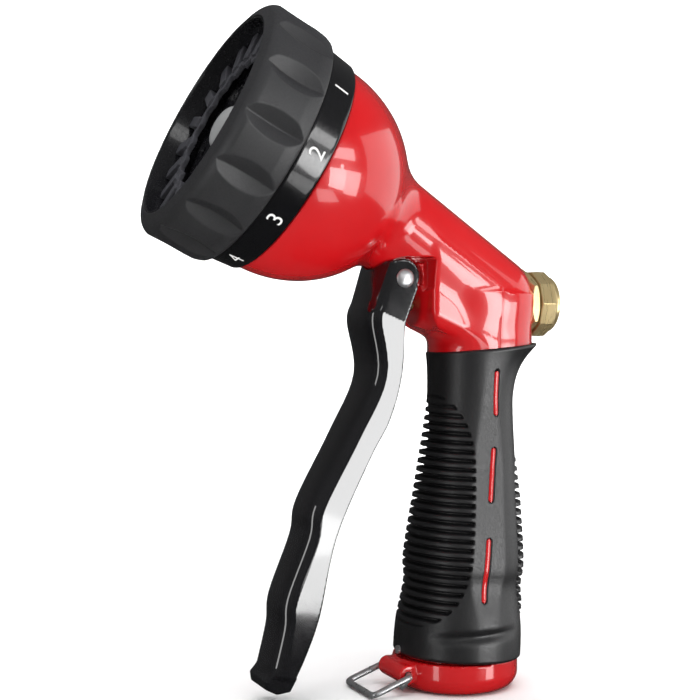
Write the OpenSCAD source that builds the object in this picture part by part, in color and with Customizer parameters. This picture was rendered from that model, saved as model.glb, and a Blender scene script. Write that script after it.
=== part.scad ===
// Hand-held hose spray nozzle with a front trigger and a turning pattern dial.
// Millimetres, +Z up. The spray side faces -Y and X = 0 is the mirror plane.
// The origin is the centre of the hose inlet, on the flat end of the handle.

/* [Handle] */
// Radius of the painted skirt at the hose end
base_r = 17; // [16:0.1:20]
// Height of the skirt below the grip
base_h = 8.4; // [7:0.1:12]
// Rounding of the skirt's lower edge
base_round = 2.4; // [0.6:0.1:2.6]
// Height of the grip's upper edge
grip_top = 91.5; // [88:0.5:96]
// Backward lean of the handle in degrees
handle_lean = 3; // [1:0.5:5]
// Thickness of the rubber sleeve
rubber_t = 2.2; // [1.6:0.1:2.8]
// Radius of the grip just above the skirt
grip_foot_r = 17.3; // [16.5:0.1:19]
// Radius of the grip at its palm swell
grip_swell_r = 16.1; // [15:0.1:18]
// Radius of the grip at its slim neck
grip_neck_r = 11.8; // [11:0.1:13]
// Width of the windows in the grip
window_w = 1.4; // [1:0.1:2.4]
// Number of grooves across the front of the grip
front_grooves = 24; // [16:1:26]
// Number of grooves across the back of the grip
back_grooves = 17; // [10:1:20]
// Depth of the grip's grooves
groove_depth = 1.1; // [0.6:0.1:1.4]
// Radius of the water way up the handle
way_r = 5; // [4:0.1:5.5]

/* [Hose inlet] */
// Crest radius of the female hose thread
thread_r = 12.35; // [11:0.05:13]
// Depth of the threaded socket
thread_depth = 12; // [10:0.5:14]
// Thickness of the hose washer
hose_washer_t = 2.5; // [2:0.1:3.2]

/* [Neck and barrel] */
// Half width of the neck above the grip
neck_r = 12; // [11:0.1:13]
// Reach of the neck behind the inlet axis
neck_back = 21.7; // [20:0.1:25]
// Reach of the neck in front of the inlet axis
neck_front = 7.7; // [7:0.1:9.5]
// Radius of the sloping barrel
barrel_r = 13; // [12:0.1:14]
// Upward slope of the barrel in degrees
barrel_slope = 34.5; // [32:0.5:37]

/* [Head] */
// Upward tilt of the spray head in degrees
head_angle = 27; // [26:0.5:30]
// Forward distance of the bell's mouth
head_reach = 49.4; // [46:0.1:51]
// Height of the bell's mouth centre over the grip, beyond the bell's radius
head_lift = 18.3; // [16:0.1:21]
// Outer radius of the bell at its mouth
bell_r = 29.1; // [28:0.1:32]
// Depth of the bell behind its mouth
bell_depth = 32; // [31:0.1:36]
// Wall of the bell
bell_wall = 3; // [2.4:0.1:3.6]
// Width of the label collar
collar_w = 8; // [6:0.1:9]
// Length of the soft bezel
bezel_len = 17.7; // [16:0.1:24]
// Stand-out of the soft bezel beyond the bell
bezel_proud = 3.9; // [3:0.1:6]
// Wall between the dial's front opening and the bell's radius
opening_wall = 1.6; // [1.2:0.1:4]
// Number of spray patterns on the dial
patterns = 10; // [8:1:12]
// Number of finger scoops round the bezel
scoops = 15; // [10:1:18]
// Depth of the bezel's finger scoops
scoop_depth = 2; // [1.5:0.1:3]
// Distance of the spray ports in from the front opening
port_inset = 12.2; // [11:0.1:13]

/* [Trigger] */
// Pivot distance in front of the inlet axis
pivot_reach = 20.2; // [19:0.1:21]
// Height of the pivot above the grip
pivot_lift = 18.7; // [17.5:0.1:19.5]
// Width of the lever at its pivot
lever_w = 18.4; // [17.5:0.1:20]
// Width of the lever at its tip
lever_tip_w = 14.6; // [13:0.1:15]
// Sheet thickness of the lever
lever_t = 2; // [1.4:0.1:2.4]
// Radius of the lever's eyes round the pivot
eye_r = 5.2; // [4.6:0.1:5.6]
// Radius of the pivot pin
pin_r = 1.75; // [1.4:0.05:2]
// Radius of the pin's domed heads
pin_head_r = 2.8; // [2.2:0.1:3.4]

/* [Valve] */
// Height of the valve's axis above the grip
valve_lift = 12.5; // [11.5:0.1:13.5]
// Radius of the valve chamber
chamber_r = 7; // [6.4:0.1:7.6]
// Radius of the valve stem
stem_r = 1.75; // [1.4:0.05:2]
// Radius of the stem's boss in front
boss_r = 6.4; // [5.6:0.1:6.6]
// Turns of the valve spring
valve_turns = 4; // [3:1:6]
// Wire of the valve spring
valve_wire = 0.9; // [0.6:0.05:1.1]
// Width of the brass gland nut across its flats
nut_flats = 17; // [16:0.1:19]
// Radius of the brass knob over its corners
knob_r = 9.1; // [8.4:0.1:10]
// Number of flats on the knob
knob_flats = 10; // [8:1:12]

/* [Lock bail] */
// Width between the bail's arms
bail_w = 17; // [16:0.1:18.5]
// Reach of the bail from its pivot
bail_reach = 11.7; // [10:0.1:13]
// Radius of the bail's wire
bail_wire = 0.85; // [0.7:0.05:1]
// Downward angle of the resting bail in degrees
bail_droop = 20; // [10:0.5:20]

/* [Hidden] */
$fn = 64;

// Clearances: a fit that turns or slides, a fixed fit, and open room beside a moving piece
run_gap = 0.06;
fit_gap = 0.05;
open_gap = 0.3;
past = 1;

// Spring tubes: rings to a turn, sides to a ring
spring_rings = 8;
spring_sides = 6;

// Handle outline, from the foot to the flared top
grip_points = [[grip_foot_r, 0], [grip_foot_r, base_h + 7], [grip_swell_r - 0.4, base_h + 19],
               [grip_swell_r, base_h + 27], [(grip_swell_r + grip_neck_r) / 2, grip_top - 36],
               [grip_neck_r, grip_top - 14], [grip_neck_r + 0.7, grip_top - 7],
               [grip_neck_r + 3, grip_top + 2]];
grip_curve = smooth(grip_points, 4);
core_top = grip_top - 0.3;
core_curve = concat([for (p = grip_curve) if (p.y < core_top) [p.x - rubber_t, p.y]],
                    [[grip_radius(core_top) - rubber_t, core_top]]);
windows = [[grip_top - 17.5, grip_top - 5.5], [grip_top - 40.5, grip_top - 26],
           [grip_top - 67, grip_top - 50]];
window_sink = 0.3;
window_tilt = 3.3;
window_shift = -1.2;
groove_pitch = 2.35;
groove_w = 1.1;
groove_field_end = 11;
front_field = [grip_top - 46.5, 13.7];
back_field = [grip_top - 50.5, 10.5];
flare_h = 9;
flare_lip = 0.9;
flare_edge = 2;

// Hose socket: the washer snaps into a groove below the step to the water way
way_step_r = 8;
way_step_top = grip_top - 30;
washer_z = thread_depth - hose_washer_t;
washer_groove_r = thread_r + 0.5;

// Neck and barrel: the barrel's round back end reaches as far as the neck
barrel_proud = 0.2;
barrel_low = grip_top + 13.4;
barrel_end = [neck_back + barrel_proud - barrel_r, barrel_low];
barrel_len = 46;
neck_low = grip_top - 1.2;
neck_high = grip_top + 14;

// Heights that follow the grip, and head sizes that follow the bell
valve_z = grip_top + valve_lift;
pivot_z = grip_top + pivot_lift;
head_z = grip_top + bell_r + head_lift;
bezel_r = bell_r + bezel_proud;
opening_r = bell_r - opening_wall;
port_pitch_r = opening_r - port_inset;

// Valve pieces along the valve's axis, measured as Y
seat_back = 0;
seat_t = 2.5;
seat_bore_r = 3.2;
outlet_r = 6;
outlet_front = -6;
gland_r = 4;
gland_front = -11.3;
boss_front = -13.6;
bushing_t = 3;
poppet_r = 4.9;
washer_t = 2;
flange_t = 2;
flange_back = seat_back + fit_gap + washer_t + flange_t;
stem_tail = flange_back + 2.5;
valve_coil_r = 4;
nut_face = neck_back - 3;
nut_seat_r = nut_flats / sqrt(3) + 2 * open_gap;
nut_t = 2.6;
nut_inner = nut_face - 5;
nut_neck_r = 5;
nut_neck_t = 3;
nut_groove = nut_inner + 1.4;
knob_front = nut_face + nut_t + open_gap;
knob_len = 6;
knob_back = knob_front + knob_len;
needle_r = 2.5;
needle_nose = nut_inner - 3.2;
needle_back = knob_back - 2;
needle_ring_at = nut_inner + 4;
needle_ring_r = 0.55;
knob_step = 1.3;
barrel_way_r = 4;
barrel_way_low = [-3.5, grip_top + 13.5];
barrel_way_high = [23 - head_reach, head_z - 11.6];

// Trigger outline, measured from the pivot as [forward, up]
lever_front = [[-36.4, -101.5], [-33.7, -90.2], [-32.9, -82.2], [-27.1, -67.2], [-25.3, -58.2],
               [-15.6, -40.2], [-8.5, -25.2], [-10.4, -11.2], [-8.7, -5.2], [-7, 0.6]];
lever_back = [[-29.5, -103.4], [-26.4, -97.2], [-22.7, -87.2], [-18.2, -67.2], [-9, -47.2], [-3.5, -37.2],
              [-0.2, -25.2], [0.2, -12.2]];
front_curve = smooth(lever_front, 4);
back_curve = smooth(lever_back, 4);
ear_points = [[-5.2, 0.4], [-8.4, -6.5], [-10.4, -11.2], [0.2, -12.2], [4.6, -2.4]];
lip_points = [[-34.8, -100.4], [-37.2, -103], [-36.8, -105.4], [-34, -106.8], [-30.4, -106.4],
              [-28.6, -103.2], [-29.5, -99]];
lever_floor = -104.6;
lever_h = 112;
lug_half = lever_w / 2 - lever_t - open_gap;
lug_r = 4;
pocket_r = eye_r + 1;
pivot_y = -pivot_reach;
pin_dome = 1.2;
pin_dome_r = (pin_head_r * pin_head_r + pin_dome * pin_dome) / (2 * pin_dome);
web_inner_y = pivot_y + lookup(valve_z - pivot_z, [for (p = front_curve) [p.y, p.x]]) + lever_t;
stem_tip = web_inner_y + 2 * open_gap;

// Bail and its lug on the skirt
lug_y = -base_r - 0.4;
lug_z = 5.1;
lug_bar_r = 2.6;
lug_foot = 2.1;
bail_bend = 1.5;
lug_bar_half = bail_w / 2 - bail_bend - fit_gap;
pin_z = base_h + 2.2;
grip_pin_r = 0.8;
grip_pin_len = 3;
grip_pin_head = 1.1;
grip_pin_head_t = 0.7;
grip_pin_face = pin_z * sin(handle_lean) - grip_radius(pin_z) - fit_gap;

// Head pieces along the head's axis, from the bell's mouth outwards
mouth_r = bell_r - bell_wall;
bell_back_wall = 5;
ledge_r = mouth_r - 1.8;
plate_back = -3.6;
plate_front = 0.9;
plate_r = mouth_r - fit_gap;
mouth_edge = -open_gap;
plate_boss_r = 5.5;
plate_boss_back = -10;
tower_r = 6;
tower_back = -9;
pocket_back = -8;
seal_pocket_r = 4.6;
port_r = 2.8;
seal_back = -2.5;
seal_front = plate_front + 0.25;
seal_wire = 0.7;
seal_turns = 4;
o_ring_r = 0.9;
plate_ring_r = mouth_r - o_ring_r - fit_gap;
plate_ring_at = -1.4;
plate_screw_r = 1.2;
plate_screw_head_r = 2.4;
plate_screw_len = 9;
plate_screw_head_t = 2;
plate_screw_pitch = mouth_r - 4.4;
plate_screw_turns = [90, 210, 330];
screw_boss_r = 3;
screw_boss_back = -13;
blind_end = 2;
dial_back = plate_front + open_gap;
dial_cup_r = opening_r + 1.2;
dial_lip = collar_w + open_gap + bezel_len;
dial_rim = dial_lip - 2;
face_front = dial_rim - 9.5;
face_floor = face_front - 5;
trough_in = opening_r - 7;
trough_out = opening_r - 0.6;
trough_floor = face_front - 7;
recess_r = opening_r - 0.4;
fin_t = 1.2;
fin_root = 1;
fin_rise = 3.2;
fins = patterns * 2;
chamber_in_r = 3.6;
jet_r = 1.4;
fan_slot = [1.2, 5.2];
rose_holes = 6;
rose_r = 2;
rose_hole_r = 0.55;
soak_r = 2.2;
hub_r = 8;
hub_front = face_front + 1;
cap_r = 6;
cap_rise = 2.6;
screw_shank_r = 2;
screw_head_r = 4;
screw_head_t = 1.8;
screw_seat = hub_front - 4.2;
screw_washer_t = 0.8;
washer_front = screw_seat + open_gap + screw_washer_t;
cap_base = washer_front + screw_head_t + open_gap;
screw_tail = plate_boss_back + blind_end + fit_gap;
collar_back_r = bell_r + 0.9;
collar_front_r = bell_r + 1.7;
bezel_lip = 3;
bezel_back = collar_w + fit_gap;
bezel_taper = [1, 4];
bezel_mid = (bezel_back + dial_lip) / 2 - 1;
scoop_wheel_r = 21;
scoop_wheel_half = 6;
scoop_half_angle = 60;
scoop_turn = -4;

// Smooth curve through a list of points, with n steps between each two
function blend(a, b, c, d, t) =
    0.5 * (2 * b + (c - a) * t + (2 * a - 5 * b + 4 * c - d) * t * t + (3 * b - a - 3 * c + d) * t * t * t);
function smooth(p, n) = concat(
    [for (i = [0 : len(p) - 2], k = [0 : n - 1])
        blend(p[max(i - 1, 0)], p[i], p[i + 1], p[min(i + 2, len(p) - 1)], k / n)],
    [p[len(p) - 1]]);

// Radius of the grip's outside at a height along the handle
function grip_radius(w) = lookup(w, [for (p = grip_curve) [p.y, p.x]]);

// Places pieces along the handle, the valve, the head and the barrel
module lean() { rotate([-handle_lean, 0, 0]) children(); }
module valve() { translate([0, 0, valve_z]) rotate([-90, 0, 0]) children(); }
module head() { translate([0, -head_reach, head_z]) rotate([90 - head_angle, 0, 0]) children(); }
module side() { rotate([90, 0, 90]) children(); }
module at_pivot() { translate([0, pivot_y, pivot_z]) children(); }
module crosswise() { rotate([0, 90, 0]) children(); }

// A plain tube or rod between two places on its own axis
module rod(r, from, to) { translate([0, 0, from]) cylinder(r = r, h = to - from); }
module ring(outer, inner, from, to) {
    difference() {
        rod(outer, from, to);
        rod(inner, from - past, to + past);
    }
}
module o_ring(mid_r, section_r, at) {
    translate([0, 0, at]) rotate_extrude() translate([mid_r, 0]) circle(r = section_r);
}
// A straight-sided slot with round ends
module slot_outline(low, high, width) {
    for (end = [low + width / 2, high - width / 2]) translate([0, end]) circle(d = width);
    translate([-width / 2, low + width / 2]) square([width, high - low - width]);
}
// An oval of two equal circles along Y
module oval(front, back, r) {
    for (y = [front + r, back - r]) translate([0, y]) circle(r = r);
    translate([-r, front + r]) square([2 * r, back - front - 2 * r]);
}

// One unbroken coil of round wire along +Z, its ends straight for one wire diameter
function coil_at(r, pitch, turns, wire, u) =
    u < 0 ? [r, u * wire, 0] :
    u > turns ? [r * cos(turns * 360) - (u - turns) * wire * sin(turns * 360),
                 r * sin(turns * 360) + (u - turns) * wire * cos(turns * 360), turns * pitch] :
    [r * cos(u * 360), r * sin(u * 360), u * pitch];
function coil_dir(a, b) = (b - a) / norm(b - a);
module coil(r, length, turns, wire) {
    pitch = (length - wire) / turns;
    us = concat([-1], [for (i = [0 : turns * spring_rings]) i / spring_rings], [turns + 1]);
    path = [for (u = us) coil_at(r, pitch, turns, wire, u)];
    count = len(path);
    dirs = [for (i = [0 : count - 1]) coil_dir(path[max(i - 1, 0)], path[min(i + 1, count - 1)])];
    points = [for (i = [0 : count - 1], k = [0 : spring_sides - 1])
        let (along = dirs[i], out = coil_dir([0, 0, 0], [path[i].x, path[i].y, 0]),
             side_way = coil_dir([0, 0, 0], cross(along, out)), up_way = cross(side_way, along),
             turn = 360 * k / spring_sides)
        path[i] + wire / 2 * (cos(turn) * up_way + sin(turn) * side_way) + [0, 0, wire / 2]];
    walls = [for (i = [0 : count - 2], k = [0 : spring_sides - 1])
        let (a = i * spring_sides + k, b = i * spring_sides + (k + 1) % spring_sides)
        [[a, b, b + spring_sides], [a, b + spring_sides, a + spring_sides]]];
    last = (count - 1) * spring_sides;
    near_end = [for (k = [1 : spring_sides - 2]) [0, k + 1, k]];
    far_end = [for (k = [1 : spring_sides - 2]) [last, last + k, last + k + 1]];
    echo(str("least gap between turns ", pitch - wire));
    polyhedron(points, concat([for (w = walls) w[0]], [for (w = walls) w[1]], near_end, far_end));
}

// Painted casting: skirt, handle core, neck, barrel, bell and lugs in one piece
module body_casting() {
    color("firebrick") difference() {
        union() {
            skirt();
            lean() handle_core();
            neck();
            barrel();
            head() bell_outside();
            pivot_lug();
            valve() rod(boss_r, boss_front, seat_back);
            bail_lug();
        }
        rod(thread_r, -past, washer_z + past);
        rod(washer_groove_r, washer_z, thread_depth);
        lean() rod(way_step_r, thread_depth - past, way_step_top);
        lean() rod(way_r, way_step_top - past, valve_z);
        valve() valve_bores();
        barrel_way();
        head() bell_inside();
        eye_pockets();
        at_pivot() crosswise() cylinder(r = pin_r + run_gap, h = lever_w, center = true);
        translate([0, lug_y, lug_z]) crosswise() cylinder(r = bail_wire + run_gap, h = bail_w, center = true);
        grip_pin_hole();
    }
}
module skirt() {
    rotate_extrude() {
        translate([0, base_round]) square([base_r, base_h - base_round]);
        square([base_r - base_round, base_h]);
        translate([base_r - base_round, base_round]) circle(r = base_round);
    }
}
module handle_core() {
    rotate_extrude() polygon(concat([[0, base_h / 2]], [for (p = core_curve) if (p.y > base_h / 2) p],
                                    [[0, core_top]]));
    intersection() {
        window_bars(window_w - 2 * fit_gap);
        rotate_extrude() polygon(concat([[0, 0]], [for (p = grip_curve) [p.x - window_sink, p.y]],
                                        [[0, grip_top + 2]]));
    }
}
// The row of windows leans back a little more than the handle
module window_bars(width) {
    translate([0, window_shift, 0]) rotate([-window_tilt, 0, 0]) for (w = windows)
        side() linear_extrude(4 * base_r, center = true) slot_outline(w[0], w[1], width);
}
module neck() {
    translate([0, 0, neck_low]) linear_extrude(neck_high - neck_low) oval(-neck_front, neck_back, neck_r);
}
module barrel() {
    translate([0, barrel_end.x, barrel_end.y]) rotate([90 - barrel_slope, 0, 0]) rotate_extrude() {
        square([barrel_r, barrel_len]);
        intersection() {
            circle(r = barrel_r);
            translate([0, -barrel_r]) square([barrel_r, 2 * barrel_r]);
        }
    }
}
// Half ellipse with its round end behind the mouth
function bell_line(r, depth) = [for (t = [0 : 7.5 : 90]) [r * cos(t), -depth * sin(t)]];
module bell_outside() {
    rotate_extrude() intersection() {
        polygon(concat([[0, 0]], bell_line(bell_r, bell_depth)));
        translate([0, mouth_edge - bell_depth]) square([bell_r, bell_depth]);
    }
    for (turn = plate_screw_turns) rotate(turn) translate([plate_screw_pitch, 0, 0])
        rod(screw_boss_r, screw_boss_back, plate_back);
}
module bell_inside() {
    difference() {
        rotate_extrude() intersection() {
            polygon(concat([[0, 0]], bell_line(ledge_r, bell_depth - bell_back_wall)));
            translate([0, plate_back - bell_depth]) square([ledge_r, bell_depth + past]);
        }
        for (turn = plate_screw_turns) rotate(turn) translate([plate_screw_pitch, 0, 0])
            rod(screw_boss_r, screw_boss_back, plate_back);
    }
    rod(mouth_r, plate_back, past);
    for (turn = plate_screw_turns) rotate(turn) translate([plate_screw_pitch, 0, 0])
        rod(plate_screw_r + fit_gap, screw_boss_back + blind_end, plate_back + past);
}
module pivot_lug() {
    at_pivot() side() linear_extrude(2 * lug_half, center = true) {
        circle(r = lug_r);
        polygon([[-lug_r, 0], [-lug_r, lug_r], [lug_r * 2, lug_r * 2], [lug_r, 0]]);
    }
}
module eye_pockets() {
    for (way = [-1, 1])
        at_pivot() translate([way * (lug_half + lever_w / 2), 0, 0]) crosswise()
            cylinder(r = pocket_r, h = lever_w, center = true);
}
module valve_bores() {
    rod(chamber_r, seat_back - seat_t, nut_face + past);
    rod(nut_seat_r, nut_face, neck_back + barrel_r);
    rod(outlet_r, outlet_front, seat_back);
    rod(gland_r, gland_front, outlet_front + past);
    rod(stem_r + run_gap, boss_front - past, gland_front + past);
    rod(stem_r + open_gap, pivot_y, boss_front);
}
module barrel_way() {
    run = barrel_way_high - barrel_way_low;
    translate([0, barrel_way_low.x, barrel_way_low.y]) rotate([atan2(-run.x, run.y), 0, 0])
        cylinder(r = barrel_way_r, h = norm(run));
}
module bail_lug() {
    translate([0, lug_y, lug_z]) crosswise() cylinder(r = lug_bar_r, h = 2 * lug_bar_half, center = true);
    translate([-lug_bar_half, lug_y, lug_z - lug_foot])
        cube([2 * lug_bar_half, lug_bar_r + past, 2 * lug_foot]);
}
module grip_pin_hole() {
    translate([0, 0, pin_z]) rotate([-90, 0, 0])
        rod(grip_pin_r + fit_gap, grip_pin_face - past, grip_pin_face + grip_pin_len + open_gap);
}

// Ribbed rubber sleeve round the handle's core
module grip_sleeve() {
    color("#2b2b2d") difference() {
        union() {
            lean() rotate_extrude()
                polygon(concat([[0, 0]], [for (p = grip_curve) if (p.y <= grip_top) p], [[0, grip_top - 1]]));
            grip_flare();
        }
        lean() rotate_extrude() polygon(concat([[0, -past]],
            [for (p = grip_curve) [p.x - rubber_t + fit_gap, p.y]], [[0, grip_top + 2]]));
        lean() {
            window_bars(window_w);
            rib_grooves(front_grooves, front_field, 0);
            rib_grooves(back_grooves, back_field, 180);
        }
        translate([0, 0, neck_low - fit_gap]) linear_extrude(neck_high)
            oval(-neck_front - fit_gap, neck_back + fit_gap, neck_r + fit_gap);
        translate([0, 0, base_h + fit_gap - 2 * base_r]) cube(4 * base_r, center = true);
        translate([0, 0, grip_top]) linear_extrude(base_r) square(4 * base_r, center = true);
        grip_pin_hole();
    }
}
// Grooves between the ribs, kept inside a lens-shaped field on one face of the handle
module rib_grooves(count, field, turn) {
    reach = count * groove_pitch / 2 + groove_field_end;
    lens_r = (reach * reach + field[1] * field[1]) / (2 * field[1]);
    intersection() {
        for (k = [0 : count - 1]) let (at = field[0] + (k - (count - 1) / 2) * groove_pitch)
            ring(2 * base_r, grip_radius(at) - groove_depth, at - groove_w / 2, at + groove_w / 2);
        rotate([90, 0, turn]) linear_extrude(2 * base_r) intersection() {
            translate([lens_r - field[1], field[0]]) circle(r = lens_r);
            translate([field[1] - lens_r, field[0]]) circle(r = lens_r);
        }
    }
}
module grip_flare() {
    hull() {
        translate([0, 0, grip_top - flare_edge]) linear_extrude(flare_edge)
            oval(-neck_front - flare_lip, neck_back + flare_lip, neck_r + flare_lip, $fn = 32);
        lean() translate([0, 0, grip_top - flare_edge - flare_h])
            cylinder(r = grip_neck_r, h = 1, $fn = 32);
    }
}

// Small steel pin that stops the sleeve from turning
module grip_pin() {
    color("silver") translate([0, 0, pin_z]) rotate([-90, 0, 0]) {
        rod(grip_pin_r, grip_pin_face - grip_pin_head_t, grip_pin_face + grip_pin_len);
        rod(grip_pin_head, grip_pin_face - grip_pin_head_t, grip_pin_face);
    }
}

// Flat rubber washer at the bottom of the hose socket
module hose_washer() {
    color("#202020") ring(washer_groove_r - fit_gap, way_step_r, washer_z + fit_gap, thread_depth - fit_gap);
}

// Brass guide and its ring, which seal the stem in the front boss
module stem_bushing() {
    color("#b08d3c") valve()
        ring(gland_r - fit_gap, stem_r + run_gap, outlet_front - bushing_t, outlet_front);
}
module stem_o_ring() {
    section = (gland_r - stem_r) / 2 - 2 * fit_gap;
    color("#202020") valve()
        o_ring((gland_r + stem_r) / 2, section, outlet_front - bushing_t - section - fit_gap);
}
// Brass ring that the valve washer closes against
module valve_seat() {
    color("#b08d3c") valve() ring(chamber_r - fit_gap, seat_bore_r, seat_back - seat_t + fit_gap, seat_back);
}
// Stem with its flange, from the trigger's web to the spring
module valve_stem() {
    color("#b08d3c") valve() {
        rod(stem_r, stem_tip + stem_r, stem_tail);
        translate([0, 0, stem_tip + stem_r]) sphere(r = stem_r);
        rod(poppet_r, flange_back - flange_t, flange_back);
    }
}
module valve_washer() {
    color("#202020") valve()
        ring(poppet_r, stem_r + fit_gap, flange_back - flange_t - washer_t, flange_back - flange_t);
}
module valve_spring() {
    color("silver") valve() translate([0, 0, flange_back + fit_gap])
        coil(valve_coil_r, nut_inner - flange_back - 2 * fit_gap, valve_turns, valve_wire);
}

// Brass hex nut that closes the valve chamber and carries the knob
module gland_nut() {
    color("#c8a24a") valve() difference() {
        union() {
            rod(chamber_r - fit_gap, nut_inner, nut_face + past);
            translate([0, 0, nut_face]) rotate(30) cylinder(r = nut_flats / sqrt(3), h = nut_t, $fn = 6);
            rod(nut_neck_r, nut_face, nut_face + nut_t + nut_neck_t);
        }
        rod(needle_r + run_gap, nut_inner - past, nut_face + nut_t + nut_neck_t + past);
        ring(chamber_r, chamber_r - 2 * o_ring_r, nut_groove, nut_groove + 2 * (o_ring_r + fit_gap));
    }
}
module gland_o_ring() {
    color("#202020") valve()
        o_ring(chamber_r - o_ring_r, o_ring_r - fit_gap, nut_groove + o_ring_r + fit_gap);
}
// Needle that the knob screws in to limit the stem's stroke
module flow_needle() {
    groove = needle_ring_r + fit_gap;
    color("#b08d3c") valve() difference() {
        union() {
            rod(needle_r, needle_nose + needle_r, needle_back);
            translate([0, 0, needle_nose]) cylinder(r1 = needle_r / 2, r2 = needle_r, h = needle_r);
        }
        ring(needle_r + past, needle_r - 2 * groove, needle_ring_at - groove, needle_ring_at + groove);
    }
}
module needle_o_ring() {
    color("#202020") valve() o_ring(needle_r - needle_ring_r, needle_ring_r, needle_ring_at);
}
// Many-sided brass knob with a stepped back edge
module flow_knob() {
    color("#c8a24a") valve() difference() {
        intersection() {
            translate([0, 0, knob_front]) cylinder(r = knob_r, h = knob_len, $fn = knob_flats);
            union() {
                rod(knob_r, knob_front, knob_back - 2 * knob_step);
                translate([0, 0, knob_back - 2 * knob_step])
                    cylinder(r1 = knob_r, r2 = knob_r - knob_step, h = knob_step);
                rod(knob_r - knob_step, knob_back - knob_step, knob_back);
            }
        }
        rod(nut_neck_r + run_gap, knob_front - past, nut_face + nut_t + nut_neck_t + open_gap);
        rod(needle_r + run_gap, knob_front, needle_back + open_gap);
    }
}

// Pressed channel lever with two eyes and a hooked tip
module trigger_lever() {
    color("#18181a") at_pivot() difference() {
        union() {
            intersection() {
                side() linear_extrude(lever_w, center = true) lever_outline();
                front_taper(0);
            }
            side() linear_extrude(lever_w, center = true) {
                circle(r = eye_r);
                polygon(ear_points);
            }
        }
        intersection() {
            side() linear_extrude(lever_w, center = true) lever_hollow();
            front_taper(lever_t);
        }
        crosswise() cylinder(r = pin_r + fit_gap, h = 2 * lever_w, center = true);
    }
}
module lever_outline() {
    polygon(concat(front_curve, [for (i = [len(back_curve) - 1 : -1 : 0]) back_curve[i]]));
    polygon(lip_points);
}
module lever_hollow() {
    front = [for (p = front_curve) if (p.y > lever_floor + lever_t) [p.x + lever_t, p.y]];
    top = front[len(front) - 1].y;
    polygon(concat([[front[0].x, lever_floor + lever_t]], front,
                   [[-2 * eye_r, top], [-2 * eye_r, 2 * eye_r], [3 * eye_r, 2 * eye_r],
                    [3 * eye_r, lever_floor + lever_t]]));
}
module front_taper(inset) {
    top = lever_w / 2 - inset;
    tip = lever_tip_w / 2 - inset;
    rotate([90, 0, 0]) linear_extrude(lever_h, center = true)
        polygon([[-tip, -lever_h], [tip, -lever_h], [top, -2 * eye_r], [top, 2 * eye_r], [-top, 2 * eye_r],
                 [-top, -2 * eye_r]]);
}
// Rivet through the lever's eyes, domed at both ends
module pivot_pin() {
    color("silver") at_pivot() crosswise() {
        cylinder(r = pin_r, h = lever_w, center = true);
        for (way = [-1, 1]) translate([0, 0, way * lever_w / 2]) intersection() {
            translate([0, 0, way * (pin_dome - pin_dome_r)]) sphere(r = pin_dome_r);
            translate([0, 0, way * pin_head_r]) cylinder(r = pin_head_r, h = 2 * pin_head_r, center = true);
        }
    }
}

// Bent wire ring that hooks over the squeezed lever's tip
module lock_bail() {
    half = bail_w / 2;
    color("silver") translate([0, lug_y, lug_z]) rotate([bail_droop, 0, 0]) mirror([0, 1, 0]) {
        for (y = [0, bail_reach]) translate([0, y, 0]) crosswise()
            cylinder(r = bail_wire, h = 2 * (half - bail_bend), center = true);
        for (way = [0, 1]) mirror([way, 0, 0]) {
            translate([half, bail_bend, 0]) rotate([-90, 0, 0])
                cylinder(r = bail_wire, h = bail_reach - 2 * bail_bend);
            bail_corner(half - bail_bend, bail_bend, -90);
            bail_corner(half - bail_bend, bail_reach - bail_bend, 0);
        }
    }
}
module bail_corner(x, y, turn) {
    translate([x, y, 0]) rotate(turn) rotate_extrude(angle = 90)
        translate([bail_bend, 0]) circle(r = bail_wire);
}

// Plate that closes the bell and holds the sprung port seal
module port_plate() {
    color("#d8d8d4") head() difference() {
        union() {
            rod(plate_r, plate_back, plate_front);
            rod(plate_boss_r, plate_boss_back, plate_back + past);
            translate([0, -port_pitch_r, 0]) rod(tower_r, tower_back, plate_back + past);
        }
        rod(screw_shank_r + fit_gap, plate_boss_back + blind_end, plate_front + past);
        translate([0, -port_pitch_r, 0]) rod(seal_pocket_r, pocket_back, plate_front + past);
        translate([0, -port_pitch_r, 0]) rod(port_r, tower_back - past, pocket_back + past);
        ring(mouth_r + past, plate_ring_r - o_ring_r - fit_gap, plate_ring_at - o_ring_r - fit_gap,
             plate_ring_at + o_ring_r + fit_gap);
        for (turn = plate_screw_turns) rotate(turn) translate([plate_screw_pitch, 0, 0]) {
            rod(plate_screw_r + fit_gap, plate_back - past, plate_front + past);
            rod(plate_screw_head_r + fit_gap, plate_front - plate_screw_head_t, plate_front + past);
        }
    }
}
module plate_o_ring() { color("#202020") head() o_ring(plate_ring_r, o_ring_r, plate_ring_at); }
module plate_screws() {
    color("silver") head() for (turn = plate_screw_turns) rotate(turn) translate([plate_screw_pitch, 0, 0]) {
        rod(plate_screw_r, plate_front - plate_screw_len, plate_front - fit_gap);
        rod(plate_screw_head_r, plate_front - plate_screw_head_t + fit_gap, plate_front - fit_gap);
    }
}
module port_seal() {
    color("#202020") head() translate([0, -port_pitch_r, 0])
        ring(seal_pocket_r - fit_gap, port_r, seal_back, seal_front);
}
module seal_spring() {
    color("silver") head() translate([0, -port_pitch_r, pocket_back + fit_gap])
        coil(seal_pocket_r - seal_wire, seal_back - pocket_back - 2 * fit_gap, seal_turns, seal_wire);
}

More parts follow.
